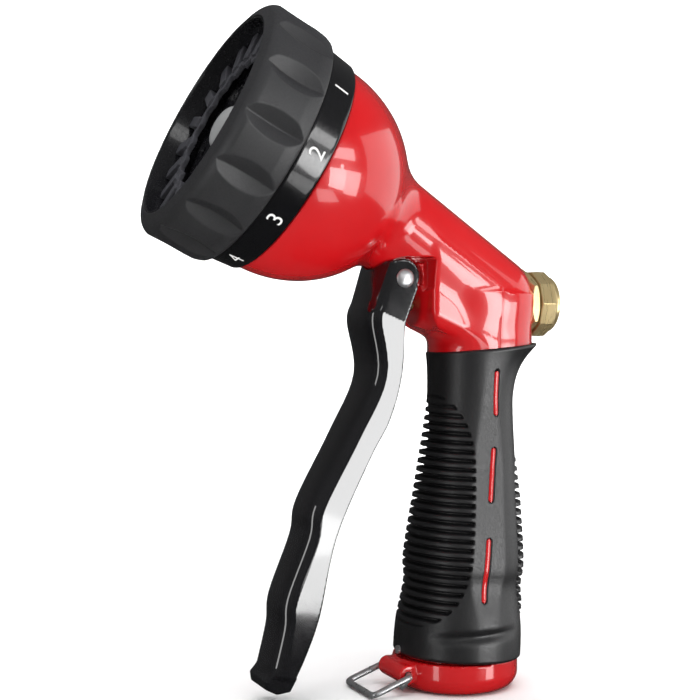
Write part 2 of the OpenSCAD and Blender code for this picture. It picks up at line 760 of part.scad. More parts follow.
// Dial cup: back plate with ports, pattern outlets, finned trough and front recess
module dial_face() {
    color("#1c1c1e") head() {
        difference() {
            rod(dial_cup_r, dial_back, dial_rim);
            rod(recess_r, face_front, dial_rim + past);
            ring(trough_out, trough_in, trough_floor, face_front + past);
            dial_centre_bores();
            for (i = [0 : patterns - 1]) rotate(i * 360 / patterns - 90) translate([port_pitch_r, 0, 0]) {
                rod(chamber_in_r, dial_back - past, face_floor);
                outlet(i);
            }
        }
        difference() {
            rod(hub_r, face_front - past, hub_front);
            dial_centre_bores();
        }
        for (i = [0 : fins - 1]) rotate((i + 0.5) * 360 / fins)
            translate([trough_in - fin_root, -fin_t / 2, trough_floor - past])
                cube([recess_r + fin_root / 2 - trough_in + fin_root, fin_t,
                      fin_rise + past + face_front - trough_floor]);
    }
}
module dial_centre_bores() {
    rod(screw_shank_r + run_gap, dial_back - past, dial_rim);
    rod(screw_head_r + open_gap, screw_seat, dial_rim);
    rod(cap_r + fit_gap, cap_base - fit_gap, dial_rim);
}
// Spray outlets of the patterns: jet, fan slot, ring of holes and wide hole in turn
module outlet(i) {
    kind = i % 4;
    low = face_floor - past;
    high = face_front + past;
    if (kind == 0) rod(jet_r, low, high);
    if (kind == 1) translate([0, 0, low]) linear_extrude(high - low) rotate(i > patterns / 2 ? 90 : 0)
        square(fan_slot, center = true);
    if (kind == 2) for (k = [0 : rose_holes - 1]) rotate(k * 360 / rose_holes) translate([rose_r, 0, 0])
        rod(rose_hole_r, low, high);
    if (kind == 3) rod(soak_r, low, high);
}
module dial_collar() {
    color("#0c0c0e") head() difference() {
        cylinder(r1 = collar_back_r, r2 = collar_front_r, h = collar_w);
        rod(dial_cup_r + fit_gap, -past, collar_w + past);
    }
}
// Soft bezel with a ring of pointed finger scoops
module dial_bezel() {
    corner = [bezel_r - bezel_lip, dial_lip - bezel_lip];
    color("#2e2e30") head() difference() {
        rotate_extrude() difference() {
            union() {
                polygon([[opening_r, bezel_back], [bezel_r - bezel_taper.x, bezel_back],
                         [bezel_r, bezel_back + bezel_taper.y], [bezel_r, corner.y], [opening_r, corner.y]]);
                intersection() {
                    translate(corner) circle(r = bezel_lip);
                    translate(corner) square(bezel_lip);
                }
                translate([opening_r, corner.y]) square([corner.x - opening_r, bezel_lip]);
            }
            square([dial_cup_r + fit_gap, dial_rim + fit_gap]);
        }
        for (i = [0 : scoops - 1]) rotate(i * 360 / scoops + scoop_turn)
            translate([bezel_r + scoop_wheel_r - scoop_depth, 0, bezel_mid]) rotate([90, 0, 0]) scoop_wheel();
    }
}
// Wheel with a sharp rim, which cuts a pointed scoop
module scoop_wheel() {
    shoulder = scoop_wheel_r - scoop_wheel_half / tan(scoop_half_angle);
    rotate_extrude() polygon([[0, -scoop_wheel_half], [shoulder, -scoop_wheel_half], [scoop_wheel_r, 0],
                              [shoulder, scoop_wheel_half], [0, scoop_wheel_half]]);
}
// Screw, washer and cap at the dial's centre
module dial_screw() {
    color("silver") head() {
        rod(screw_shank_r, screw_tail, washer_front + past);
        rod(screw_head_r, washer_front, washer_front + screw_head_t);
    }
}
module dial_washer() {
    color("silver") head()
        ring(screw_head_r, screw_shank_r + fit_gap, washer_front - screw_washer_t, washer_front);
}
module dial_cap() {
    dome_r = (cap_r * cap_r + cap_rise * cap_rise) / (2 * cap_rise);
    color("#a9abad") head() {
        rod(cap_r, cap_base, hub_front);
        intersection() {
            translate([0, 0, hub_front + cap_rise - dome_r]) sphere(r = dome_r);
            rod(cap_r, hub_front - fit_gap, hub_front + cap_rise + past);
        }
    }
}

body_casting();
grip_sleeve();
grip_pin();
hose_washer();
stem_bushing();
stem_o_ring();
valve_seat();
valve_stem();
valve_washer();
valve_spring();
gland_nut();
gland_o_ring();
flow_needle();
needle_o_ring();
flow_knob();
trigger_lever();
pivot_pin();
lock_bail();
port_plate();
plate_o_ring();
plate_screws();
port_seal();
seal_spring();
dial_face();
dial_collar();
dial_bezel();
dial_screw();
dial_washer();
dial_cap();
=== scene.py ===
import math

import bpy
import numpy as np
import openvdb
from mathutils import Matrix, Vector


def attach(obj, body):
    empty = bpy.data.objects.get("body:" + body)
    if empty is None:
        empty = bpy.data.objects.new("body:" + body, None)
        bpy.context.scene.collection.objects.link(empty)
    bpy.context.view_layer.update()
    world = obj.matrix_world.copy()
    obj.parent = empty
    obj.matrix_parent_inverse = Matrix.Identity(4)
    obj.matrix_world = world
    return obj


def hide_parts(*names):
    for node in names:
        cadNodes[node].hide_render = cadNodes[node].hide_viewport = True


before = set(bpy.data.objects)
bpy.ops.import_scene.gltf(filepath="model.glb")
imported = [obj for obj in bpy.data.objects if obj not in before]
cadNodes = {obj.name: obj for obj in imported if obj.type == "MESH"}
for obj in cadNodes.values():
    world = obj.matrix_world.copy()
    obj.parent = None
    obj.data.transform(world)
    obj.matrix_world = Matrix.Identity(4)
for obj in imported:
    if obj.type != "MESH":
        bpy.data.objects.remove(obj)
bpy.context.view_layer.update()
print("frame loaded:", len(cadNodes), "nodes")

# the camera stands where the photograph's outlines put it, level with the middle of the nozzle
cameraSet = {
    "lens": 72.0, "sensor": 36.0, "place": (0.33932, -0.17906, 0.09794),
    "turn": 23.46, "tilt": 1.03, "roll": 0.30,
}


def makeCamera():
    turn, tilt, roll = (math.radians(cameraSet[k]) for k in ("turn", "tilt", "roll"))
    back = Vector((math.cos(turn) * math.cos(tilt), -math.sin(turn) * math.cos(tilt), math.sin(tilt)))
    right = Vector((math.sin(turn), math.cos(turn), 0.0))
    right = right * math.cos(roll) + back.cross(right) * math.sin(roll)
    up = back.cross(right)
    data = bpy.data.cameras.new("camera")
    data.lens = cameraSet["lens"]
    data.sensor_width = cameraSet["sensor"]
    cam = bpy.data.objects.new("camera", data)
    bpy.context.scene.collection.objects.link(cam)
    axes = Matrix((right, up, back)).transposed()
    cam.matrix_world = Matrix.Translation(cameraSet["place"]) @ axes.to_4x4()
    bpy.context.scene.camera = cam


makeCamera()
print("camera placed")


# materials: sRGB hex to linear, and one helper that adds a node
def toLinear(text):
    parts = [int(text[i:i + 2], 16) / 255 for i in (1, 3, 5)]
    return tuple(c / 12.92 if c <= 0.04045 else ((c + 0.055) / 1.055) ** 2.4 for c in parts) + (1.0,)


def addNode(owner, kind, settings=None, links=None):
    node = owner.node_tree.nodes.new(kind)
    for key, value in (settings or {}).items():
        if key in node.inputs:
            node.inputs[key].default_value = value
        else:
            setattr(node, key, value)
    for key, source in (links or {}).items():
        owner.node_tree.links.new(source, node.inputs[key])
    return node


def makeFinish(name, f):
    # a wide cloud varies the colour, a fine grain dents the surface, and either one varies the gloss
    mat = bpy.data.materials.new(name)
    mat.use_nodes = True
    mat.node_tree.nodes.clear()
    perMm = 1000.0  # object coordinates are metres in the shared frame
    place = addNode(mat, "ShaderNodeTexCoord").outputs["Object"]
    pattern = {"Scale": perMm / f["cloudMm"], "Detail": f.get("cloudDetail", 2.0)}
    cloud = addNode(mat, "ShaderNodeTexNoise", pattern, {"Vector": place}).outputs["Fac"]
    colour = addNode(mat, "ShaderNodeMix", {"data_type": "RGBA"}, {0: cloud})
    colour.inputs[6].default_value = toLinear(f["dark"])
    colour.inputs[7].default_value = toLinear(f["pale"])
    links = {"Base Color": colour.outputs[2]}
    if "grainMm" in f:
        stretch = {"Scale": f.get("stretch", (1.0, 1.0, 1.0))}
        drawn = addNode(mat, "ShaderNodeMapping", stretch, {"Vector": place}).outputs[0]
        pattern = {"Scale": perMm / f["grainMm"], "Detail": f["grainDetail"]}
        grain = addNode(mat, "ShaderNodeTexNoise", pattern, {"Vector": drawn}).outputs["Fac"]
        low, high = f["rough"]
        reach = {"From Min": 0.3, "From Max": 0.7, "To Min": low, "To Max": high}
        source = cloud if f.get("cloudyGloss") else grain
        links["Roughness"] = addNode(mat, "ShaderNodeMapRange", reach, {"Value": source}).outputs[0]
        depthMm, strength = f["dents"]
        relief = {"Strength": strength, "Distance": depthMm / perMm}
        links["Normal"] = addNode(mat, "ShaderNodeBump", relief, {"Height": grain}).outputs[0]
    shader = addNode(mat, "ShaderNodeBsdfPrincipled", f["sockets"], links)
    addNode(mat, "ShaderNodeOutputMaterial", None, {"Surface": shader.outputs[0]})
    return mat


# zinc die casting under stoved red enamel: deep even red, mirror-like gloss, faint orange peel
stovedEnamel = {
    "dark": "#C20C12", "pale": "#CC1117", "cloudMm": 14.0, "grainMm": 2.6, "grainDetail": 1.0,
    "rough": (0.2, 0.26), "cloudyGloss": True, "dents": (0.02, 0.25),
    "sockets": {"IOR": 1.5, "Coat Weight": 1.0, "Coat Roughness": 0.03},
}
# pressed steel dipped in black enamel: near black with sharp bright reflections
dippedEnamel = {
    "dark": "#08080A", "pale": "#101013", "cloudMm": 9.0, "grainMm": 3.2, "grainDetail": 1.0,
    "rough": (0.06, 0.1), "cloudyGloss": True, "dents": (0.03, 0.25),
    "sockets": {"IOR": 1.55, "Coat Weight": 1.0, "Coat Roughness": 0.04},
}
# thermoplastic rubber from a spark-eroded mould: soft dark grey sheen, its grain drawn coarser to show
mouldedRubber = {
    "cloudMm": 7.0, "grainMm": 0.5, "grainDetail": 3.0, "dents": (0.05, 0.35), "sockets": {"IOR": 1.7},
}
# free-cutting brass from the lathe: warm yellow with fine rings round its axis
turnedBrass = {
    "dark": "#D8BE86", "pale": "#E8D3A2", "cloudMm": 4.0, "grainMm": 0.5, "grainDetail": 1.0,
    "stretch": (0.06, 1.0, 0.06), "rough": (0.26, 0.34), "dents": (0.002, 0.1), "sockets": {"Metallic": 0.8},
}
# zinc plated steel wire and rivets: cool grey, lightly scuffed
platedSteel = {
    "dark": "#B4B6B8", "pale": "#D6D7D8", "cloudMm": 1.2, "cloudDetail": 3.0,
    "grainMm": 1.2, "grainDetail": 3.0, "rough": (0.26, 0.4), "dents": (0.01, 0.3),
    "sockets": {"Metallic": 0.85},
}


def rubberFinish(name, dark, pale, rough):
    return makeFinish(name, dict(mouldedRubber, dark=dark, pale=pale, rough=(rough - 0.06, rough + 0.08)))


def plasticFinish(name, dark, pale, rough, coat):
    # injection moulded ABS or acetal: even colour, gloss set by the mould's polish
    return makeFinish(name, {
        "dark": dark, "pale": pale, "cloudMm": 6.0, "grainMm": 0.8, "grainDetail": 2.0,
        "rough": (rough - 0.04, rough + 0.05), "dents": (0.003, 0.1),
        "sockets": {"IOR": 1.53, "Coat Weight": coat, "Coat Roughness": 0.05},
    })


finishes = {
    "red_enamel": makeFinish("stoved_red_enamel", stovedEnamel),
    "black_enamel": makeFinish("dipped_black_enamel", dippedEnamel),
    # the grip's rubber is painted about three times darker than the bezel's: painted shade, standing in for
    # the shade deep in its rib grooves
    "grip_rubber": rubberFinish("moulded_grip_rubber_painted_shade", "#131314", "#1A1A1C", 0.44),
    "bezel_rubber": rubberFinish("moulded_bezel_rubber", "#262628", "#2F2F31", 0.52),
    "seal_rubber": rubberFinish("nitrile_seal_rubber", "#151515", "#1E1E1F", 0.55),
    "collar_plastic": plasticFinish("polished_black_abs", "#08080A", "#0D0D10", 0.2, 0.6),
    "black_plastic": plasticFinish("moulded_black_abs", "#101012", "#18181B", 0.24, 0.4),
    "pale_plastic": plasticFinish("moulded_acetal", "#D2D2CC", "#DEDED8", 0.35, 0.0),
    "grey_plastic": plasticFinish("satin_grey_abs", "#8B8C8D", "#9FA0A0", 0.34, 0.1),
    "brass": makeFinish("turned_brass", turnedBrass),
    "steel": makeFinish("zinc_plated_steel", platedSteel),
}
# the dial's bars: satin, off a blasted mould, and painted a lighter grey than the dial's black plastic as
# painted light on them; and a dense white ink, slightly chalky
paintedLightBarPlastic = plasticFinish("dial_bar_abs_painted_lit", "#3C3C40", "#48484D", 0.45, 0.0)
printInk = plasticFinish("pad_printed_white_ink", "#E8E8E6", "#F4F4F2", 0.5, 0.0)
print("materials:", len(finishes) + 2)


# meshes: every piece is made in millimetres in the shared frame
def addPiece(name, points, faces, body, slot, stands=(), normals=None, finish=None):
    mesh = bpy.data.meshes.new(name)
    mesh.from_pydata((np.asarray(points) * 0.001).tolist(), [], [list(f) for f in faces])
    mesh.polygons.foreach_set("use_smooth", np.ones(len(mesh.polygons), dtype=bool))
    mesh.materials.append(finish or finishes[slot])
    mesh.update()
    if normals is not None:
        mesh.normals_split_custom_set_from_vertices(np.asarray(normals).tolist())
    piece = bpy.data.objects.new(name, mesh)
    bpy.context.scene.collection.objects.link(piece)
    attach(piece, body)
    if stands:
        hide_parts(*stands)


def slopes(field, p, step=0.04):
    out = np.empty_like(p)
    for i in range(3):
        near, far = p.copy(), p.copy()
        near[:, i] -= step
        far[:, i] += step
        out[:, i] = field(*far.T) - field(*near.T)
    return out / (2 * step)


def fieldSurface(field, low, high, cell, passes=3):
    # meshes the zero surface of a distance field block by block, then slides each point exactly onto it
    low = np.array(low, dtype=float)
    block, batch, band = 8, 400, 3.0 * cell
    counts = [int(math.ceil((h - l) / cell / block)) for l, h in zip(low, high)]
    values = np.full([n * block for n in counts], band, dtype=np.float32)
    blocks = np.stack(np.meshgrid(*[np.arange(n) for n in counts], indexing="ij"), axis=3).reshape(-1, 3)
    middles = low + (blocks * block + (block - 1) / 2) * cell
    rough = field(*middles.T)
    near = np.abs(rough) < 1.15 * block * cell
    for i, j, k in blocks[~near & (rough < 0)] * block:
        values[i:i + block, j:j + block, k:k + block] = -band
    steps = np.stack(np.meshgrid(*[np.arange(block)] * 3, indexing="ij"), axis=3).reshape(-1, 3)
    active = blocks[near] * block
    for start in range(0, len(active), batch):
        spot = (active[start:start + batch, None, :] + steps[None]).reshape(-1, 3)
        values[tuple(spot.T)] = np.clip(field(*(low + spot * cell).T), -band, band)
    grid = openvdb.FloatGrid(background=band)
    grid.copyFromArray(values)
    points, tris, quads = grid.convertToPolygons(isovalue=0.0, adaptivity=0.0)
    p = points.astype(np.float64) * cell + low
    for _ in range(passes):
        g = slopes(field, p)
        size = np.maximum((g * g).sum(1), 0.05)
        shift = np.clip(field(*p.T) / size, -cell, cell)
        p -= g * shift[:, None]
    g = slopes(field, p)
    g /= np.maximum(np.linalg.norm(g, axis=1), 1e-9)[:, None]
    return p, quads.tolist() + tris.tolist(), g


def softMin(a, b, k):
    h = np.clip(0.5 + 0.5 * (b - a) / k, 0.0, 1.0)
    return b + (a - b) * h - k * h * (1.0 - h)


def softMax(a, b, k):
    return -softMin(-a, -b, k)


def roundMax(a, b, r):
    return np.minimum(np.maximum(a, b), -r) + np.hypot(np.maximum(a + r, 0.0), np.maximum(b + r, 0.0))


def ramp(value, start, full):
    return np.clip((value - start) / (full - start), 0.0, 1.0)


def polyDistance(y, z, points):
    # signed distance to a closed outline, negative inside
    pts = np.asarray(points, dtype=float)
    best = np.full(np.shape(y), 1e9)
    inside = np.zeros(np.shape(y), dtype=bool)
    for a, b in zip(pts, np.roll(pts, -1, axis=0)):
        ey, ez = b - a
        wy, wz = y - a[0], z - a[1]
        t = np.clip((wy * ey + wz * ez) / (ey * ey + ez * ez), 0.0, 1.0)
        best = np.minimum(best, (wy - ey * t) ** 2 + (wz - ez * t) ** 2)
        crosses = (a[1] > z) != (b[1] > z)
        if ez:
            inside ^= crosses & (y < ey * (z - a[1]) / ez + a[0])
    return np.where(inside, -1.0, 1.0) * np.sqrt(best)


def curveThrough(points, steps):
    # smooth curve that passes through every point
    p = np.asarray(points, dtype=float)
    out = []
    for i in range(len(p) - 1):
        a, b, c, d = p[max(i - 1, 0)], p[i], p[i + 1], p[min(i + 2, len(p) - 1)]
        for k in range(steps):
            t = k / steps
            start = 2 * b + (c - a) * t + (2 * a - 5 * b + 4 * c - d) * t ** 2
            out.append(0.5 * (start + (3 * b - a - 3 * c + d) * t ** 3))
    return np.array(out + [p[-1]])


def spun(profile, count):
    # rings of a turned form: profile is (radius, along) from end to end, axis along the third coordinate
    turns = np.linspace(0, 2 * math.pi, count, endpoint=False)
    pts = np.array([[r * math.cos(t), r * math.sin(t), a] for r, a in profile for t in turns])
    faces = []
    for i in range(len(profile) - 1):
        for k in range(count):
            m = (k + 1) % count
            faces.append((i * count + k, i * count + m, (i + 1) * count + m, (i + 1) * count + k))
    return pts, faces


# where things stand on the nozzle: the head's frame, the leaning handle and the pivot
headSet = {"tilt": 27.0, "place": (-49.4, 138.9)}
headSin, headCos = math.sin(math.radians(headSet["tilt"])), math.cos(math.radians(headSet["tilt"]))
headTurn = np.array([[1, 0, 0], [0, headSin, -headCos], [0, headCos, headSin]])
handleSet = {
    "lean": 3.0,
    "line": [(17.3, 0), (17.3, 15.4), (15.7, 27.4), (16.1, 35.4),
             (13.95, 55.5), (11.8, 77.5), (12.5, 84.5), (14.8, 93.5)],  # radius, height
}
leanSin, leanCos = math.sin(math.radians(handleSet["lean"])), math.cos(math.radians(handleSet["lean"]))
gripLine = curveThrough(handleSet["line"], 12)
pivot = (-20.2, 110.2)
valveHeight = 104.0


def toHead(y, z):
    dy, dz = y - headSet["place"][0], z - headSet["place"][1]
    return headSin * dy + headCos * dz, -headCos * dy + headSin * dz


def fromHead(p):
    x, n, s = np.asarray(p, dtype=float).T
    hy, hz = headSet["place"]
    return np.stack([x, hy + headSin * n - headCos * s, hz + headCos * n + headSin * s], axis=1)


def toHandle(y, z):
    return y * leanCos - z * leanSin, y * leanSin + z * leanCos


def fromHandle(p):
    x, v, w = np.asarray(p, dtype=float).T
    return np.stack([x, v * leanCos + w * leanSin, -v * leanSin + w * leanCos], axis=1)


def gripRadius(w):
    return np.interp(w, gripLine[:, 1], gripLine[:, 0])


# the casting: skirt, core, neck, sloping barrel and bell flow into one another
castingSet = {
    # hose end
    "skirtRadius": 17.0, "skirtTop": 8.4, "skirtRound": 4.4, "socketEnd": 12.0, "washerSeat": 12.85,
    "threadCrest": 12.35, "threadDepth": 0.9, "threadPitch": 2.21, "threadEnd": 9.5,
    # core under the rubber and the water way up it
    "coreGap": 2.3, "coreLow": 5.0, "coreHigh": 90.0,
    "wayRadius": 5.0, "wayStep": 8.0, "wayStepEnd": 61.5, "wayLow": 10.0,
    # neck, with the seam where the rubber ends, and barrel
    "neckRadius": 12.0, "neckFront": 4.3, "neckBack": 9.7, "neckHigh": 105.5,
    "seamMiddle": 92.0, "seamSlope": 0.08, "seamAxis": 7.0, "seamLap": 0.8,
    "barrelRadius": 13.0, "barrelEnd": (8.9, 104.9), "barrelSlope": 34.5, "barrelLength": 46.0,
    "barrelBlend": 3.0,
    # flat-sided shoulder between the neck and the valve boss; its lean turns a height into a distance
    "shoulderHalf": 11.7, "shoulderFront": -13.0, "shoulderBack": 5.0, "shoulderLow": 98.2,
    "shoulderFall": 0.45, "shoulderLean": 0.91, "shoulderEdge": 1.5, "shoulderRound": 3.6,
    "shoulderBlend": 2.6,
    # pivot lug with a pocket and a step beside it, measured from the pivot
    "lugRadius": 4.0, "lugHalf": 6.9, "lugReach": (5.0, 8.0), "lugBlend": 1.2,
    "eyeRoom": 5.6, "pinBore": 1.8,
    "pocket": (3.4, 1.2), "pocketHalf": (2.9, 3.2), "pocketRound": 1.2, "pocketFloor": 0.4,
    "step": (3.0, 1.2), "stepHalf": (3.1, 3.0), "stepRise": 1.6,
    # valve boss, its bores and the gland nut's seat
    "bossRadius": 6.4, "bossFront": -13.6, "bossBack": 2.0, "bossBlend": 3.0, "stemBore": 1.9,
    "chamberEnds": (-11.3, 40.0), "chamberSteps": (-6.0, -2.5), "chamberRadii": (4.0, 6.0, 7.0),
    "nutSeat": 10.4, "nutFace": 18.7,
    # bell, and the passage that leads into it
    "bellRadius": 29.1, "bellDepth": 32.0, "bellMouth": -0.3, "bellSeat": 26.1, "seatDepth": -3.6,
    "bellBlend": 5.0, "hollowWall": 1.8, "hollowBack": 5.0,
    "passage": ((-3.5, 105.0), (-26.4, 127.3)), "passageRadius": 4.0,
    # lug for the bail
    "bailLug": (-17.4, 5.1), "bailLugRadius": 2.6, "bailLugHalf": 6.95, "bailBore": 0.9,
    "footHalf": 2.1, "footReach": 4.0,
    "cell": 0.5,
}


def seamHeight(y):
    # the grip's upper edge rises a little towards the back
    return castingSet["seamMiddle"] + castingSet["seamSlope"] * (y - castingSet["seamAxis"])


def ellipsoid(x, n, s, across, deep):
    k0 = np.sqrt((x * x + n * n) / across ** 2 + s * s / deep ** 2)
    k1 = np.sqrt((x * x + n * n) / across ** 4 + s * s / deep ** 4)
    return k0 * (k0 - 1.0) / np.maximum(k1, 1e-6)


def segment(x, y, z, start, end, radius):
    (ay, az), (by, bz) = start, end
    dy, dz = by - ay, bz - az
    t = np.clip(((y - ay) * dy + (z - az) * dz) / (dy * dy + dz * dz), 0.0, 1.0)
    return np.sqrt(x * x + (y - ay - dy * t) ** 2 + (z - az - dz * t) ** 2) - radius


def castingForm(x, y, z):
    c = castingSet
    v, w = toHandle(y, z)
    n, s = toHead(y, z)
    py, pz = y - pivot[0], z - pivot[1]
    ly, lz = y - c["bailLug"][0], z - c["bailLug"][1]
    side = np.abs(x)
    neck = np.hypot(x, y - np.clip(y, c["neckFront"], c["neckBack"])) - c["neckRadius"]
    neck = np.maximum(roundMax(neck, seamHeight(y) - c["seamLap"] - z, 0.6), z - c["neckHigh"])
    slope = math.radians(c["barrelSlope"])
    ey, ez = c["barrelEnd"]
    far = (ey - c["barrelLength"] * math.cos(slope), ez + c["barrelLength"] * math.sin(slope))
    barrel = segment(x, y, z, c["barrelEnd"], far, c["barrelRadius"])
    shoulder = roundMax(side - c["shoulderHalf"], c["shoulderFront"] - y, c["shoulderEdge"])
    under = c["shoulderLow"] - c["shoulderFall"] * (y - c["shoulderFront"]) - z
    shoulder = roundMax(shoulder, under * c["shoulderLean"], c["shoulderRound"])
    shoulder = np.maximum(shoulder, np.maximum(y - c["shoulderBack"], z - ez - (ey - y) * math.tan(slope)))
    d = softMin(softMin(barrel, neck, c["barrelBlend"]), shoulder, c["shoulderBlend"])
    lug = segment(0.0 * x, py, pz, (0.0, 0.0), c["lugReach"], c["lugRadius"])
    lug = roundMax(lug, side - c["lugHalf"], 0.6)
    pocketY = np.maximum(np.abs(py - c["pocket"][0]) - c["pocketHalf"][0], 0.0)
    pocketZ = np.maximum(np.abs(pz - c["pocket"][1]) - c["pocketHalf"][1], 0.0)
    pocket = np.hypot(pocketY, pocketZ) - c["pocketRound"]
    stepY = np.abs(py - c["step"][0]) - c["stepHalf"][0]
    step = np.maximum(stepY, np.abs(pz - c["step"][1]) - c["stepHalf"][1])
    d = softMax(d, -np.maximum(pocket, c["lugHalf"] + c["pocketFloor"] - side), 0.3)
    d = np.minimum(softMin(d, lug, c["lugBlend"]), roundMax(step, side - c["lugHalf"] - c["stepRise"], 0.4))
    boss = roundMax(np.hypot(x, z - valveHeight) - c["bossRadius"], c["bossFront"] - y, 0.8)
    d = softMin(d, np.maximum(boss, y - c["bossBack"]), c["bossBlend"])
    bell = roundMax(ellipsoid(x, n, s, c["bellRadius"], c["bellDepth"]), s - c["bellMouth"], 0.4)
    d = softMin(d, bell, c["bellBlend"])
    d = softMax(d, -np.maximum(np.hypot(py, pz) - c["eyeRoom"], c["lugHalf"] - side), 0.5)
    core = np.hypot(x, v) - gripRadius(w) + c["coreGap"]
    d = np.minimum(d, np.maximum(core, np.maximum(c["coreLow"] - w, w - c["coreHigh"])))
    skirt = roundMax(np.hypot(x, y) - c["skirtRadius"], -z, c["skirtRound"])
    skirt = np.maximum(skirt, z - c["skirtTop"])
    lugBar = roundMax(np.hypot(ly, lz) - c["bailLugRadius"], side - c["bailLugHalf"], 0.5)
    foot = np.maximum(np.abs(lz) - c["footHalf"], side - c["bailLugHalf"] + 0.4)
    foot = np.maximum(foot, np.maximum(-ly, ly - c["footReach"]))
    return np.minimum(d, softMin(skirt, np.minimum(lugBar, foot), c["lugBlend"]))


def castingField(x, y, z):
    # the form less its thread, water way, valve bores, bell and pin holes
    c = castingSet
    v, w = toHandle(y, z)
    n, s = toHead(y, z)
    d = castingForm(x, y, z)
    twist = np.mod(z / c["threadPitch"] + np.arctan2(y, x) / (2 * math.pi), 1.0)
    ridge = c["threadDepth"] * np.clip(1.6 - 4.0 * np.abs(twist - 0.5), 0.0, 1.0)
    bore = np.hypot(x, y) - c["threadCrest"]
    bore = bore - np.where(z < c["threadEnd"], ridge, c["washerSeat"] - c["threadCrest"])
    d = softMax(d, -np.maximum(bore, z - c["socketEnd"]), 0.3)
    way = np.hypot(x, v) - np.where(w < c["wayStepEnd"], c["wayStep"], c["wayRadius"])
    d = np.maximum(d, -np.maximum(way, np.maximum(c["wayLow"] - w, w - valveHeight)))
    ring = np.hypot(x, z - valveHeight)
    narrow, middle, wide = c["chamberRadii"]
    chamber = np.where(y < c["chamberSteps"][0], narrow, np.where(y < c["chamberSteps"][1], middle, wide))
    ends = np.maximum(c["chamberEnds"][0] - y, y - c["chamberEnds"][1])
    d = np.maximum(d, -np.maximum(ring - chamber, ends))
    d = softMax(d, -np.maximum(ring - c["nutSeat"], c["nutFace"] - y), 0.4)
    d = np.maximum(d, -np.maximum(ring - c["stemBore"], y))
    d = np.maximum(d, -segment(x, y, z, *c["passage"], c["passageRadius"]))
    hollow = ellipsoid(x, n, s, c["bellSeat"] - c["hollowWall"], c["bellDepth"] - c["hollowBack"])
    hollow = np.maximum(hollow, s - c["seatDepth"])
    seat = np.maximum(np.hypot(x, n) - c["bellSeat"], c["seatDepth"] - s)
    d = np.maximum(d, -np.minimum(hollow, seat))
    d = np.maximum(d, c["pinBore"] - np.hypot(y - pivot[0], z - pivot[1]))
    return np.maximum(d, c["bailBore"] - np.hypot(y - c["bailLug"][0], z - c["bailLug"][1]))


points, faces, normals = fieldSurface(castingField, (-30.5, -70, -1), (30.5, 23.5, 168), castingSet["cell"])
addPiece("casting_shell", points, faces, "body", "red_enamel", ["body_casting"], normals)
print("casting:", len(points), "points")

# the grip: a leaning sleeve with two fields of ribs, slots for the windows and a flared top
gripSet = {
    "low": 8.5, "high": 91.4, "wall": 2.15, "innerTop": 88.0, "straightTop": 79.0, "endRound": 0.7,
    # each pair of heights is where a form starts and where it is full
    "sideFlat": 0.8, "flatBelow": (19.0, 31.0), "flatAbove": (82.0, 60.0),
    "ribsBelow": (16.5, 20.5), "ribsAbove": (80.0, 68.0),
    "riseBelow": (18.0, 24.0), "riseAbove": (66.0, 52.0),
    # ribs: field is (middle height, half height, half angle)
    "ribPitch": 2.35, "ribDepth": 2.0, "backRise": 0.9, "grooveShare": 0.5,
    "frontField": (47.5, 31.5, 74.0), "backField": (42.0, 24.0, 46.0),
    "flareStart": 74.0, "flareFront": 0.35, "flareBack": 1.9, "flareCurve": 4.2, "frontCurve": 1.6,
    # finger dent above the lower rim: height, sway, half width, place round the sleeve, spread, depth
    "dentHigh": 16.0, "dentSway": 1.6, "dentHalf": 1.3, "dentTurn": 1.42, "dentSpread": 0.62,
    "dentDepth": 1.0,
    "windows": [(74.0, 86.0), (51.0, 65.5), (24.5, 41.5)], "windowWidth": 1.4, "windowDepth": 0.7,
    "windowTilt": 3.3, "windowShift": -2.2, "windowBend": (74.0, 0.05), "barSunk": 0.06, "barCrown": 0.26,
    "rounds": 420, "levels": 340,
}


def ovalReach(turn, centre):
    # distance from the handle's axis to the flared top's oval, in the direction turn from the front
    low, high = np.zeros_like(turn), np.full_like(turn, 40.0)
    for _ in range(40):
        mid = (low + high) / 2
        x, y = mid * np.sin(turn), centre - mid * np.cos(turn)
        room = gripSet["flareFront"] + (gripSet["flareBack"] - gripSet["flareFront"]) * ramp(y, -8.0, 22.0)
        reach = np.hypot(x, y - np.clip(y, castingSet["neckFront"], castingSet["neckBack"]))
        out = reach > castingSet["neckRadius"] + room
        high = np.where(out, mid, high)
        low = np.where(out, low, mid)
    return (low + high) / 2


def ribMask(away, w, field):
    centre, half, spreadDeg = field
    t = np.clip(np.abs(w - centre) / half, 0.0, 1.0)
    edge = math.radians(spreadDeg) * np.sqrt(np.maximum(1.0 - t ** 4, 0.0))
    return np.clip((edge - away) * gripRadius(w) / 0.7, 0.0, 1.0)


def ribGroove(w, field):
    phase = np.mod((w - field[0]) / gripSet["ribPitch"] + 0.5, 1.0)
    across = np.abs(phase - 0.5) / (gripSet["grooveShare"] / 2)
    return np.clip(1.35 * (1.0 - across ** 2), 0.0, 1.0)


def windowPlace(w):
    # how far behind the handle's side the row of windows runs
    bendAt, fall = gripSet["windowBend"]
    rise = np.minimum(w, bendAt) * math.tan(math.radians(gripSet["windowTilt"]))
    return gripSet["windowShift"] + rise - fall * np.maximum(w - bendAt, 0.0)


def flared(turn, w):
    g = gripSet
    base = gripRadius(np.minimum(w, g["straightTop"]))
    flat = g["sideFlat"] * ramp(w, *g["flatBelow"]) * ramp(w, *g["flatAbove"])
    base = softMin(base, (base - flat) / np.maximum(np.abs(np.sin(turn)), 0.2), 0.25)
    rise = ramp(w, g["flareStart"], g["high"])
    curve = g["frontCurve"] + (g["flareCurve"] - g["frontCurve"]) * (0.5 - 0.5 * np.cos(turn))
    return base + (ovalReach(turn, w * leanSin) - base) * rise ** curve


